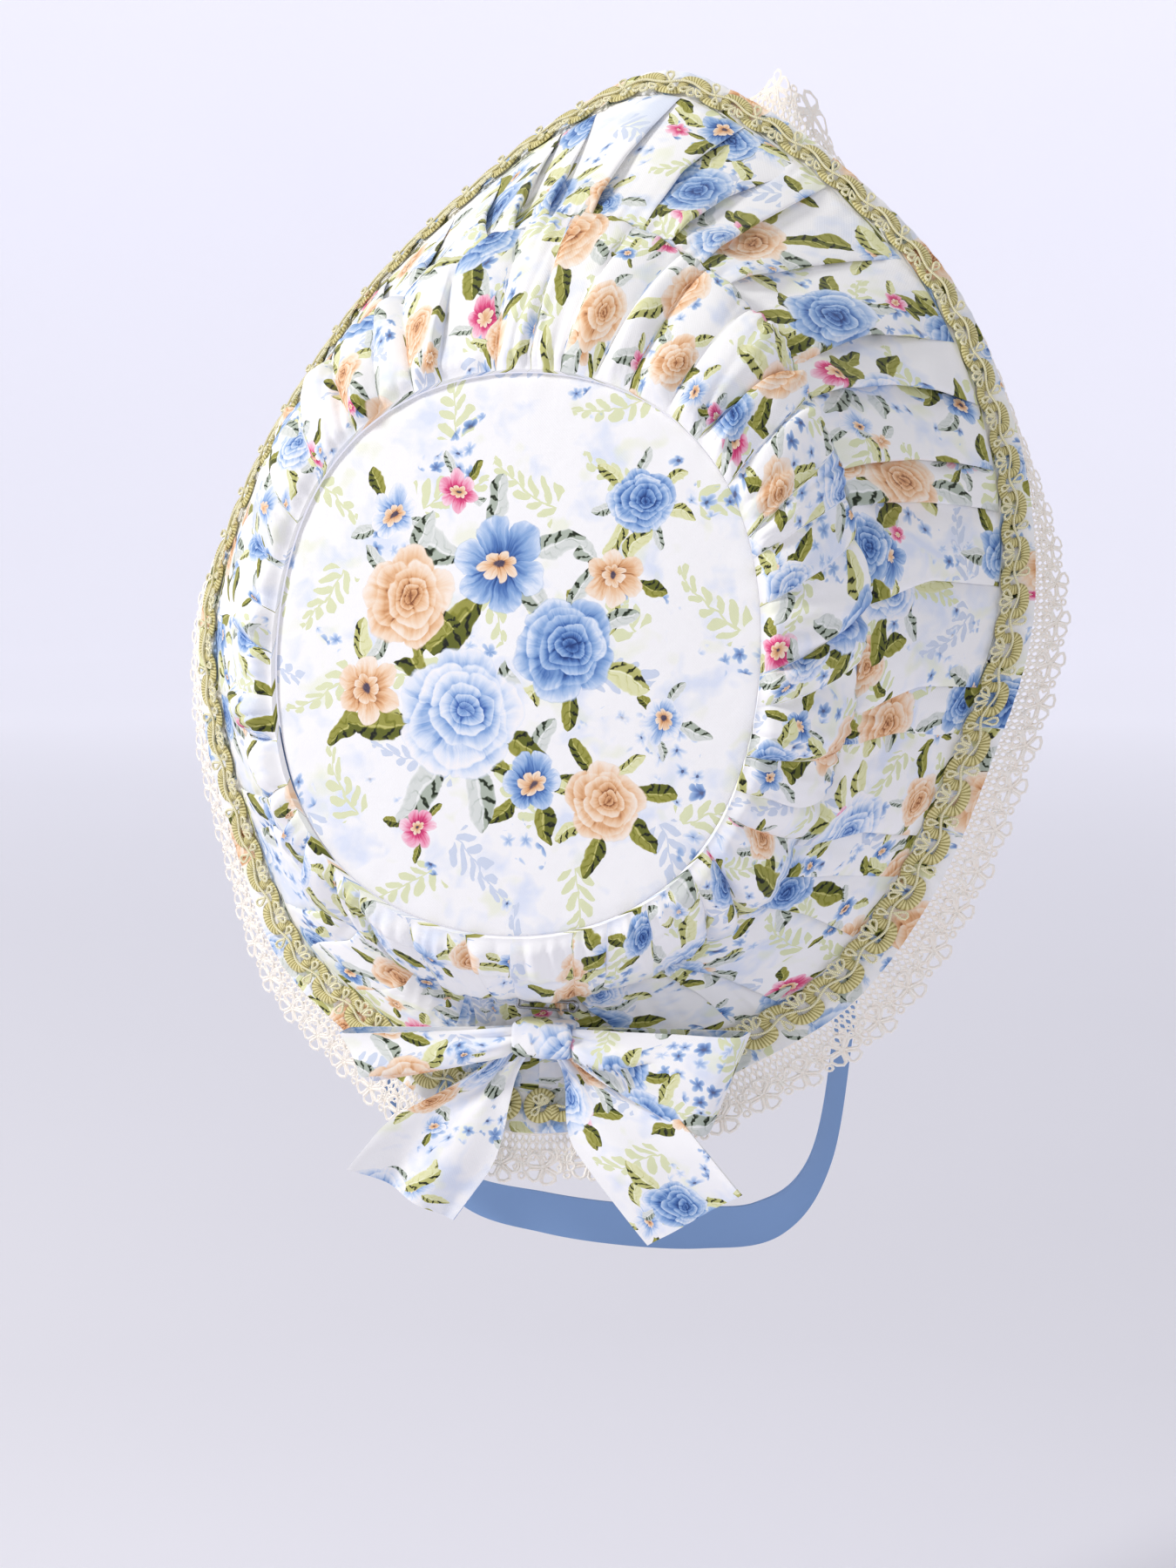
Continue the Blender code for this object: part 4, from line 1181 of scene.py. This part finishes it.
def scroll_core(total, sizes):
    """The thick cord: a wave across the band, widened by a second one along it, coiled at both ends."""
    period = total / round(total / sizes.gimp_repeat)
    along = np.arange(CORE_FROM, total - CORE_FROM, period / 22.0)
    angle = 2.0 * math.pi * along / period
    middle = GIMP_WIDTH / 2.0
    path = np.stack([
        along - period * 0.10 * np.sin(2.0 * angle),
        middle + GIMP_WIDTH * 0.34 * np.sin(angle),
        np.full(len(along), CORE_HIGH),
    ], axis=-1)
    curl = np.linspace(0.0, 1.85 * math.pi, 30)
    coil = np.stack([
        COIL_FROM + 0.0042 * np.cos(curl), middle + 0.0044 * np.sin(curl), CORE_HIGH + 0.0 * curl
    ], axis=-1)
    far_coil = coil * (-1.0, 1.0, 1.0) + (total, 0.0, 0.0)
    return np.concatenate([coil[::-1], path, far_coil]), period


def teardrop(length, width, angle, count=10):
    """A closed loop of cord, tied at 0: half a cosine long, a sine wide, turned by an angle."""
    steps = 2.0 * math.pi * np.arange(count) / count
    swell = 0.5 - 0.5 * np.cos(steps)
    out, side = length * swell, width * 0.65 * np.sin(steps) * swell
    turn = math.radians(angle)
    return np.stack([
        out * math.cos(turn) - side * math.sin(turn),
        out * math.sin(turn) + side * math.cos(turn),
        0.0004 * swell,
    ], axis=-1)


def scroll_overlay(total, period):
    """The gilt cord: a gentle wave down the middle, and in each repeat five loops out of it."""
    middle, height, cord = GIMP_WIDTH / 2.0, OVERLAY_HIGH, 0.00052
    along = np.arange(OVERLAY_FROM, total - OVERLAY_FROM, period / 16.0)
    wave = 0.0013 * np.sin(2.0 * math.pi * along / period + 0.9)
    vine = np.stack([along, middle + wave, height + 0.0 * along], axis=-1)
    copies = []
    for place, side, angle, length in OVERLAY_LOOPS:
        base = (place * period, middle + side * 0.0015, height - 0.0002)
        copies.append(cord_tube(teardrop(length, length * 0.62, angle), cord, cord, 5, True) + base)
    starts = np.arange(1, int(total / period) - 1) * period
    copies = [tiled(copy, starts) for copy in copies]
    for place, side, angle, length in OVERLAY_LOOPS:
        for end, way in ((COIL_FROM, 1.0), (total - COIL_FROM, -1.0)):
            knot = teardrop(length * 0.8, length * 0.5, angle + 36.0 * place) * (way, 1.0, 1.0)
            knot = cord_tube(knot, cord, cord, 5, True)
            copies.append(knot[None] + (end, middle, height - 0.0006))
    return cord_tube(vine, cord, cord, 6), copies


OVERLAY_LOOPS = (
    # place in the repeat, side of the middle, angle, length
    (0.19, -1.0, -128.0, 0.0048),
    (0.25, -1.0, -90.0, 0.0052),
    (0.31, -1.0, -52.0, 0.0048),
    (0.72, 0.0, 100.0, 0.0052),
    (0.78, -1.0, -80.0, 0.0044),
)


class BONNET_OT_gimp_braid(bpy.types.Operator):
    """The scroll gimp round the brim"""
    bl_idname = "bonnet.gimp_braid"
    bl_label = "Gimp braid"

    def execute(self, context):
        sizes = context.scene.bonnet_sizes
        turns, length = edge_turns(braid_line, 0.5004, 1.4996)
        core, period = scroll_core(length[-1], sizes)
        vine, copies = scroll_overlay(length[-1], period)
        thick = cord_tube(core, 0.0020, 0.0009, 10)
        parts = [tube_part(thick), tube_part(vine, False, 1)]
        for group in copies:
            parts += [tube_part(tube, True, 1) for tube in group]
        for part in parts:
            part["points"] = lay_braid(part["points"], turns, length)
        piece = mesh_piece("scroll_gimp", parts, [once(gimp_cord), once(gimp_gilt)])
        dress(piece, ["gimp_braid"])
        return {"FINISHED"}


def lace_line(turns):
    """The brim's edge."""
    return lace_point(turns, np.zeros_like(turns), 0.0)


def tiled(template, starts):
    """Copies of a flat tube, each moved along by its own start."""
    shift = np.zeros((len(starts), 1, 1, 3))
    shift[..., 0] = starts[:, None, None]
    return template[None] + shift


def lace_flower(width, petals, thread, steps):
    """Petals as closed loops round a small ring, all in one plane."""
    radius = width / 2.0
    tubes = []
    for turn in 360.0 * (np.arange(petals) + 0.5) / petals:
        way = math.radians(turn)
        petal = teardrop(radius * 0.90, radius * 0.92, turn, steps)
        petal = petal + radius * 0.10 * np.array([math.cos(way), math.sin(way), 0.0])
        tubes.append(cord_tube(petal, thread, thread * 0.7, 4, True))
    tubes.append(lace_ring(radius * 0.15, thread * 1.1) - (0.0, 0.0, 0.0002))
    return tubes


def lace_ring(radius, thread):
    """A small ring of thread."""
    steps = 2.0 * math.pi * np.arange(8) / 8.0
    path = np.stack([radius * np.cos(steps), radius * np.sin(steps), 0.0 * steps], axis=-1)
    return cord_tube(path, thread, thread, 4, True)


NET_ROWS = (0.0012, 0.0044, 0.0076)  # the net's rows, out from the brim's edge
HEADER_ROWS = (-0.0050, 0.0000)  # the header cords' rows
FLOWER_OUT, SMALL_OUT, RING_OUT, TIP_OUT = 0.0120, 0.0108, 0.0066, 0.0152  # how far out the motifs lie
PETAL_THREAD, FINE_THREAD = 0.00062, 0.00050  # half the width of the flowers' threads


def lace_parts(total, flower_width):
    """The whole lace laid flat: header cords, a net of crossed waves, rings, and flowers along the edge."""
    flowers = int(round(total / (flower_width * 1.22)))
    pitch = total / flowers
    paths = []
    for row in NET_ROWS:
        for sign in (1.0, -1.0):
            along = np.linspace(0.0, total, flowers * 18 + 1)[:-1]
            angle = 2.0 * math.pi * along / (pitch / 3.0)
            out = row + 0.0020 * sign * np.sin(angle)
            paths.append(np.stack([along, out, 0.0003 * np.cos(angle)], axis=-1))
    for row in HEADER_ROWS:
        along = np.linspace(0.0, total, flowers * 6 + 1)[:-1]
        paths.append(np.stack([along, np.full(len(along), row), 0.0 * along], axis=-1))
    long_tubes = []
    for path in paths:
        wrapped = np.concatenate([path[-1:] - (total, 0.0, 0.0), path, path[:1] + (total, 0.0, 0.0)])
        long_tubes.append(cord_tube(wrapped, 0.00052, 0.00036, 4)[2:-2])
    starts = np.arange(flowers) * pitch
    between = starts + pitch / 2.0
    large = lace_flower(flower_width, 5, PETAL_THREAD, 10)
    small = lace_flower(flower_width * 0.55, 4, FINE_THREAD, 8)
    copies = [tiled(tube + (0.0, FLOWER_OUT, 0.0), starts) for tube in large]
    copies += [tiled(tube + (0.0, SMALL_OUT, 0.0), between) for tube in small]
    ring = lace_ring(0.0011, FINE_THREAD)
    for offset in (-0.28, 0.28):
        copies.append(tiled(ring + (0.0, RING_OUT, 0.0), starts + pitch * offset))
    copies.append(tiled(ring + (0.0, TIP_OUT, 0.0), between))
    return long_tubes, copies


class BONNET_OT_lace_edging(bpy.types.Operator):
    """The flower lace under the brim's edge"""
    bl_idname = "bonnet.lace_edging"
    bl_label = "Lace edging"

    def execute(self, context):
        sizes = context.scene.bonnet_sizes
        turns, length = edge_turns(lace_line, 0.0, 1.0)
        total = length[-1]
        long_tubes, copies = lace_parts(total, sizes.lace_flower)

        def carry(flat):
            place = np.interp(flat[..., 0] % total, length, turns)
            return lace_point(place, flat[..., 1], 0.0006 - flat[..., 2])

        parts = []
        for tube in long_tubes:
            ring = np.concatenate([tube, tube[:, :1]], axis=1)
            uv = np.zeros((ring.shape[0] + 1, ring.shape[1], 2))
            parts.append(grid_part(carry(ring), uv, True, True))
        for group in copies:
            for tube in group:
                part = tube_part(tube, True)
                part["points"] = carry(part["points"])
                parts.append(part)
        piece = mesh_piece("flower_lace", parts, [once(ivory_guipure)])
        dress(piece, ["lace_edging"])
        return {"FINISHED"}


# Bow

TUCK_FROM = 0.60  # where the tuck starts at the knot, down from the loop's middle in half widths
TUCK_STANDS, TUCK_HANGS = 0.0042, 0.0024  # how far the cloth over the tuck stands out and hangs over it


def loop_grids(row):
    """A band that runs out behind, turns at its outer fold and comes back in front; what its tuck hides.

    The front is tucked along a slanting line from the knot: the cloth stands over it and hides a strip.
    """
    _, way, top_out, top_up, low_out, low_up, slope, run = row
    stations = np.linspace(-1.0, 1.0, 97)
    across = np.linspace(1.0, -1.0, 65)[None, :]
    bend = np.abs(stations)
    out = np.sin(0.5 * math.pi * (1.0 - bend)) ** 0.8
    puff = LOOP_PUFF * np.sign(stations) * np.sin(math.pi * bend**0.6) ** 0.7
    root, start = KNOT_HEIGHT * 0.30, KNOT_WIDTH / 2.0 - 0.0015
    high, low = (1.0 + across) / 2.0, (1.0 - across) / 2.0
    tip_out = LOOP_REACH * (top_out * high + low_out * low)
    tip_up = LOOP_REACH * (top_up * high + low_up * low)
    out = out[:, None]
    side = start + out * (tip_out - start)
    flare = out**0.75
    height = across * root * (1.0 - flare) + tip_up * flare
    sign = np.sign(stations)[:, None]
    tucks = 0.0011 * np.cos(across * 7.0 + 0.6) * np.exp(-((out / 0.33) ** 2)) * smooth_step(out / 0.08)
    above = across + TUCK_FROM - slope * out
    held = smooth_step((run - out) / 0.35) * smooth_step(out / 0.03) * (sign > 0)
    crease = TUCK_STANDS * smooth_step(above / 0.05) * np.exp(-((above / 0.7) ** 2)) * held
    height = height - TUCK_HANGS * np.exp(-(((above - 0.07) / 0.07) ** 2)) * held
    hidden = TUCK_HIDES * smooth_step(-above / 0.03) * held
    billow = 0.0010 * np.sin(3.0 * across + 2.0) * np.sin(math.pi * out)
    root_share = sign * (1.0 - out)
    dimple = LOOP_DIMPLE * root_share * (1.0 - across**2)
    relief = np.abs(sign) * (tucks + crease * sign + billow) * (sign > 0)
    depth = -(puff[:, None] + LOOP_ROOT * root_share - dimple + relief)
    return np.stack([way * side, depth, height], axis=-1) + knot_middle(), hidden


def tail_grids(row):
    """A tail gathered under the knot that spreads to a straight cut end, its folds fading; nothing hidden."""
    _, way, end_out, end_down, end_turn, further, soon = row
    shares = np.linspace(0.0, 1.0, 61)[:, None]
    across = np.linspace(-1.0, 1.0, 37)[None, :]
    spread = 0.25 + 0.81 * smooth_step(shares * soon)
    turn = math.radians(end_turn) * shares**0.6
    start_out, start_down = KNOT_WIDTH * 0.26 + further, KNOT_HEIGHT / 2.0 - 0.0012
    mid_out = start_out + (TAIL_LENGTH * end_out - start_out) * shares**0.98
    mid_down = start_down + (TAIL_LENGTH * end_down - start_down) * shares
    half = TAIL_WIDTH / 2.0 * spread
    side = mid_out + np.cos(turn) * half * across
    drop = mid_down - np.sin(turn) * half * across
    wave = TAIL_WAVE * np.sin(1.5 * math.pi * across) * shares
    tucks = 0.0010 * np.cos(across * 9.0 + way) * np.exp(-((shares / 0.30) ** 2))
    curl = -0.0016 * smooth_step((np.abs(across) - 0.7) / 0.3) * smooth_step((shares - 0.6) / 0.4)
    depth = KNOT_DEPTH * (0.12 - 0.62 * smooth_step(shares * 1.4)) + wave + tucks + curl
    return np.stack([way * side, depth + 0.0 * side, -drop], axis=-1) + knot_middle(), 0.0 * side


def bow_sheet(name, middle, hidden, cloth, offset, held):
    """A closed sheet of the bow's cloth round a middle surface, mapped by lengths and what tucks hide."""
    along = np.gradient(middle, axis=0)
    down = np.gradient(middle, axis=1)
    square = unit(np.cross(along, down)) * BOW_CLOTH / 2.0
    length = lengths_along(middle, 0).mean(axis=1)
    width = lengths_along(middle, 1).max(axis=0)
    uv = np.stack(np.broadcast_arrays(length[:, None], width[None, :] + hidden), axis=-1) + offset
    parts = wall_parts(middle + square, middle - square, uv, uv + (0.05, 0.03), False)
    piece = mesh_piece(name + "_cloth", parts, [cloth])
    dress(piece, [name])


def knot_grids():
    """A band wound round the bow's middle: a squared oval, a little full, closed at both sides."""
    angles = np.linspace(0.0, 2.0 * math.pi, 73)
    squared = lambda values: np.sign(values) * np.abs(values) ** KNOT_SQUARE
    shares = np.concatenate([[-1.0, -1.0], np.linspace(-1.0, 1.0, 25), [1.0, 1.0]])
    swell = 0.90 + 0.10 * (1.0 - np.abs(shares) ** 3) - 0.05 * (np.abs(shares) > 0.97)
    swell[0] = swell[-1] = 0.0
    swell[1] = swell[-2] = 0.82
    crease = 1.0 - 0.02 * np.cos(shares * 9.0)[:, None] * np.cos(angles * 2.0)[None, :]
    side = np.broadcast_to(shares[:, None] * KNOT_WIDTH / 2.0, (len(shares), len(angles)))
    depth = squared(np.cos(angles))[None, :] * KNOT_DEPTH / 2.0 * swell[:, None] * crease
    height = squared(np.sin(angles))[None, :] * KNOT_HEIGHT / 2.0 * swell[:, None] * crease
    points = np.stack([side, depth, height], axis=-1) + knot_middle()
    points[:, -1] = points[:, 0]
    round_length = lengths_along(points[14:15], 1)[0]
    uv = np.stack(np.broadcast_arrays(side + 0.21, round_length[None, :] + 0.02), axis=-1)
    return points, uv


class BONNET_OT_bow(bpy.types.Operator):
    """The bow's knot, its two loops and its two tails"""
    bl_idname = "bonnet.bow"
    bl_label = "Bow"

    def execute(self, context):
        cloth = once(allover_cotton)
        points, uv = knot_grids()
        knot = mesh_piece("bow_knot_cloth", [grid_part(points, uv)], [cloth])
        dress(knot, ["bow_knot"])
        for number, row in enumerate(LOOP_TABLE):
            bow_sheet(row[0], *loop_grids(row), cloth, (0.42 + 0.23 * number, 0.64), "folded")
        for number, row in enumerate(TAIL_TABLE):
            bow_sheet(row[0], *tail_grids(row), cloth, (0.13 + 0.31 * number, 0.91), "hung")
        return {"FINISHED"}


# Pin and ribbon

def round_path(points, count):
    """A smooth path of even stations through points."""
    ends = np.vstack([2.0 * points[0] - points[1], points, 2.0 * points[-1] - points[-2]])
    return through_points(ends, np.linspace(1.0, len(points), count))


class BONNET_OT_bar_pin(bpy.types.Operator):
    """The wire pin that holds the bow"""
    bl_idname = "bonnet.bar_pin"
    bl_label = "Bar pin"

    def execute(self, context):
        coil, half = PIN_COIL / 2.0, PIN_LENGTH / 2.0
        catch = half * np.array([[-1.0, 0.0, 0.0]]) + PIN_COIL * np.array([
            # side, depth and rise from the bar's left end
            (0.45, 0.0, 0.98),
            (0.00, 0.0, 0.92),
            (-0.10, 0.0, 0.40),
            (0.00, 0.0, 0.00),
        ])
        bar = half * np.array([(-0.4, 0.0, 0.0), (0.4, 0.0, 0.0)])
        turned = np.radians(np.arange(0.0, 360.0 * PIN_TURNS + 1.0, 20.0))
        behind = -(PIN_WIRE + GAP) * turned / (2.0 * math.pi)
        rings = np.stack([half + coil * np.sin(turned), behind, coil - coil * np.cos(turned)], axis=-1)
        back = np.array([
            (half * 0.3, behind[-1], PIN_COIL * 0.90),
            (-half + PIN_COIL * 0.6, behind[-1], PIN_COIL * 0.75),
        ])
        knot = knot_middle()
        place = np.array([knot[0] - PIN_OFF_CENTRE, nape_face() - GAP - PIN_WIRE / 2.0, knot[2]])
        place[2] += KNOT_HEIGHT / 2.0 - PIN_COIL * 0.60 + PIN_SHOWS
        path = round_path(np.vstack([catch, bar, rings, back]), 200) + place
        lying = path[:, [0, 2, 1]]
        tube = cord_tube(lying, PIN_WIRE / 2.0, PIN_WIRE / 2.0, 12)[..., [0, 2, 1]]
        part = tube_part(tube)
        part["flip"] = False
        piece = mesh_piece("wire_pin", [part], [once(plated_steel)])
        dress(piece, ["bar_pin"])
        return {"FINISHED"}


def ribbon_path(count):
    """The ribbon's middle line and its width's way, from the right seam under the chin to the left."""
    hold = GAP + RIBBON_THICK * np.array([0.85, 3.5, 9.0])
    seam_turns = np.array([0.262, 0.292, 0.318])
    reach = 1.0 + (RIBBON_WIDTH / 2.0 + RIBBON_SET_IN) / brim_span(seam_turns)
    sewn = lifted(seam_turns, reach, -hold)
    free = np.array([
        # side, forward and down from the back panel's middle
        (CHEEK_HALF * 1.10, CHIN_FORWARD * 0.62, CHIN_DROP * 0.42),
        (CHEEK_HALF * 1.02, CHIN_FORWARD * 0.75, CHIN_DROP * 0.64),
        (CHEEK_HALF * 0.90, CHIN_FORWARD * 0.84, CHIN_DROP * 0.84),
        (CHEEK_HALF * 0.66, CHIN_FORWARD * 0.92, CHIN_DROP * 0.955),
        (CHEEK_HALF * 0.34, CHIN_FORWARD * 0.98, CHIN_DROP * 0.99),
    ]) * (1.0, 1.0, -1.0) + ORIGIN
    chin = np.array([[0.0, CHIN_FORWARD, -CHIN_DROP]]) + ORIGIN
    right = np.vstack([sewn, free])
    middle = np.vstack([right, chin, right[::-1] * (-1.0, 1.0, 1.0)])
    sewn_way = unit(smooth_surface(seam_turns, reach + STEP) - smooth_surface(seam_turns, reach - STEP))
    loose_way = unit(np.array([
        (0.25, 0.97, 0.0), (0.12, 0.99, 0.0), (0.1, 0.9, -0.35), (0.0, 0.5, -0.86), (0.0, 0.25, -0.97)
    ]))
    ways = np.vstack([sewn_way, loose_way])
    ways = np.vstack([ways, np.array([(0.0, 0.2, -0.98)]), ways[::-1] * (-1.0, 1.0, 1.0)])
    return round_path(middle, count), unit(round_path(ways, count))


class BONNET_OT_chin_ribbon(bpy.types.Operator):
    """The satin ribbon under the chin"""
    bl_idname = "bonnet.chin_ribbon"
    bl_label = "Chin ribbon"

    def execute(self, context):
        middle, ways = ribbon_path(321)
        along = unit(np.gradient(middle, axis=0))
        ways = unit(ways - along * np.sum(ways * along, axis=1, keepdims=True))
        square = np.cross(along, ways)
        across = np.linspace(-0.5, 0.5, 15)[None, :]
        cup = RIBBON_CUP * 4.0 * across**2 + RIBBON_SELVAGE * (np.abs(across) > 0.46)
        sheet = middle[:, None, :] + ways[:, None, :] * (across * RIBBON_WIDTH)[..., None]
        sheet = sheet + square[:, None, :] * (cup - RIBBON_CUP / 2.0)[..., None]
        outer = sheet + square[:, None, :] * RIBBON_THICK / 2.0
        inner = sheet - square[:, None, :] * RIBBON_THICK / 2.0
        length = lengths_along(middle[:, None, :], 0)
        uv = np.stack(np.broadcast_arrays(length, across * RIBBON_WIDTH), axis=-1)
        piece = mesh_piece("ribbon_satin", wall_parts(outer, inner, uv, uv, False), [once(blue_satin)])
        dress(piece, ["chin_ribbon"])
        return {"FINISHED"}


# Stage

def turned_to(place, aim):
    """The turn of a camera or a lamp that looks from one place to another, its top up."""
    way = np.array(aim) - np.array(place)
    return math.acos(-way[2] / np.linalg.norm(way)), 0.0, math.atan2(-way[0], way[1])


class BONNET_OT_stage(bpy.types.Operator):
    """Camera, lights and a plain pale floor that rises all round"""
    bl_idname = "bonnet.stage"
    bl_label = "Stage"

    def execute(self, context):
        scene = context.scene
        camera = bpy.data.objects.new("camera", bpy.data.cameras.new("camera"))
        scene.collection.objects.link(camera)
        camera.data.lens = CAMERA_LENS
        camera.data.sensor_width = 36.0
        camera.data.sensor_fit = "AUTO"
        camera.location = CAMERA_PLACE
        camera.rotation_euler = turned_to(CAMERA_PLACE, CAMERA_AIM)
        scene.camera = camera
        scene.view_settings.view_transform = "Standard"
        for name, place, size, power, colour in LIGHTS:
            lamp = bpy.data.lights.new(name, "AREA")
            lamp.shape = "DISK"
            lamp.size = size
            lamp.energy = power
            lamp.color = colour
            holder = bpy.data.objects.new(name, lamp)
            holder.location = place
            holder.rotation_euler = turned_to(place, LIGHTS_AIM)
            scene.collection.objects.link(holder)
        world = bpy.data.worlds.new("studio")
        world.use_nodes = True
        background = world.node_tree.nodes["Background"]
        background.inputs["Color"].default_value = (0.96, 0.96, 1.0, 1.0)
        background.inputs["Strength"].default_value = WORLD_STRENGTH
        scene.world = world
        bend = np.linspace(0.0, math.pi / 2.0, 17)
        radius = np.concatenate([[0.0, 1.5, 3.0], 4.2 + 1.4 * np.sin(bend)])
        height = np.concatenate([[0.0, 0.0, 0.0], 1.4 - 1.4 * np.cos(bend)])
        turns = 2.0 * math.pi * np.arange(65) / 64.0
        points = np.stack([
            radius[None, :] * np.cos(turns)[:, None],
            radius[None, :] * np.sin(turns)[:, None],
            np.broadcast_to(height[None, :], (65, len(radius))) - 0.56,
        ], axis=-1)
        points[-1] = points[0]
        uv = np.zeros(points.shape[:2] + (2,))
        floor = mesh_piece("pale_floor", [grid_part(points, uv, False, True)], [background_paper()])
        return {"FINISHED"}


WORLD_STRENGTH = 0.38
LIGHTS_AIM = (0.0, 0.0, -0.13)
LIGHTS = (
    # name, place, size, power, colour
    ("key", (-1.6, -1.0, 1.4), 0.5, 37.0, (1.0, 0.985, 0.97)),
    ("fill", (1.9, -1.5, 0.3), 1.6, 5.0, (0.96, 0.98, 1.0)),
    ("top", (0.2, 0.5, 1.9), 1.2, 7.0, (1.0, 1.0, 1.0)),
)


class BonnetSizes(bpy.types.PropertyGroup):
    """Sizes that change the folds and trims"""
    crown_folds: bpy.props.IntProperty(
        name="Crown folds", description="Folds round the ruched band", default=40, min=12, max=70
    )
    crown_fold_height: bpy.props.FloatProperty(
        name="Crown fold height", description="How far a fold stands", default=CROWN_FOLD_HEIGHT,
        unit="LENGTH",
    )
    brim_pleats: bpy.props.IntProperty(
        name="Brim pleats", description="Knife pleats round the brim", default=38, min=16, max=70
    )
    brim_pleat_height: bpy.props.FloatProperty(
        name="Brim pleat height", description="How far a pleat stands", default=BRIM_PLEAT_HEIGHT,
        unit="LENGTH",
    )
    gimp_repeat: bpy.props.FloatProperty(
        name="Gimp repeat", description="Length of one scroll of the braid", default=0.0185, unit="LENGTH"
    )
    lace_flower: bpy.props.FloatProperty(
        name="Lace flower", description="Width of one lace flower", default=0.0125, unit="LENGTH"
    )
    print_scale: bpy.props.FloatProperty(
        name="Print scale", description="Size of the print, 1 as drawn", default=1.08, subtype="FACTOR",
        min=0.3, max=3.0,
    )


class BONNET_PT_panel(bpy.types.Panel):
    """Sizes and the pieces to build"""
    bl_idname = "BONNET_PT_panel"
    bl_label = "Bonnet"
    bl_space_type = "VIEW_3D"
    bl_region_type = "UI"
    bl_category = "Bonnet"

    def draw(self, context):
        for name in BonnetSizes.__annotations__:
            self.layout.prop(context.scene.bonnet_sizes, name)
        for operator in OPERATORS:
            self.layout.operator(operator.bl_idname)


OPERATORS = (
    BONNET_OT_stage,
    BONNET_OT_back_panel,
    BONNET_OT_crown_band,
    BONNET_OT_brim,
    BONNET_OT_gimp_braid,
    BONNET_OT_lace_edging,
    BONNET_OT_bow,
    BONNET_OT_bar_pin,
    BONNET_OT_chin_ribbon,
)
CLASSES = (BonnetSizes, *OPERATORS, BONNET_PT_panel)


def register():
    """Make the classes and the scene's sizes known."""
    for kind in CLASSES:
        bpy.utils.register_class(kind)
    bpy.types.Scene.bonnet_sizes = bpy.props.PointerProperty(type=BonnetSizes)


def unregister():
    """Take them away again."""
    del bpy.types.Scene.bonnet_sizes
    for kind in reversed(CLASSES):
        bpy.utils.unregister_class(kind)


def main():
    """Build every piece in order."""
    register()
    for operator in OPERATORS:
        group, _, name = operator.bl_idname.partition(".")
        getattr(getattr(bpy.ops, group), name)()


if __name__ == "__main__":
    main()
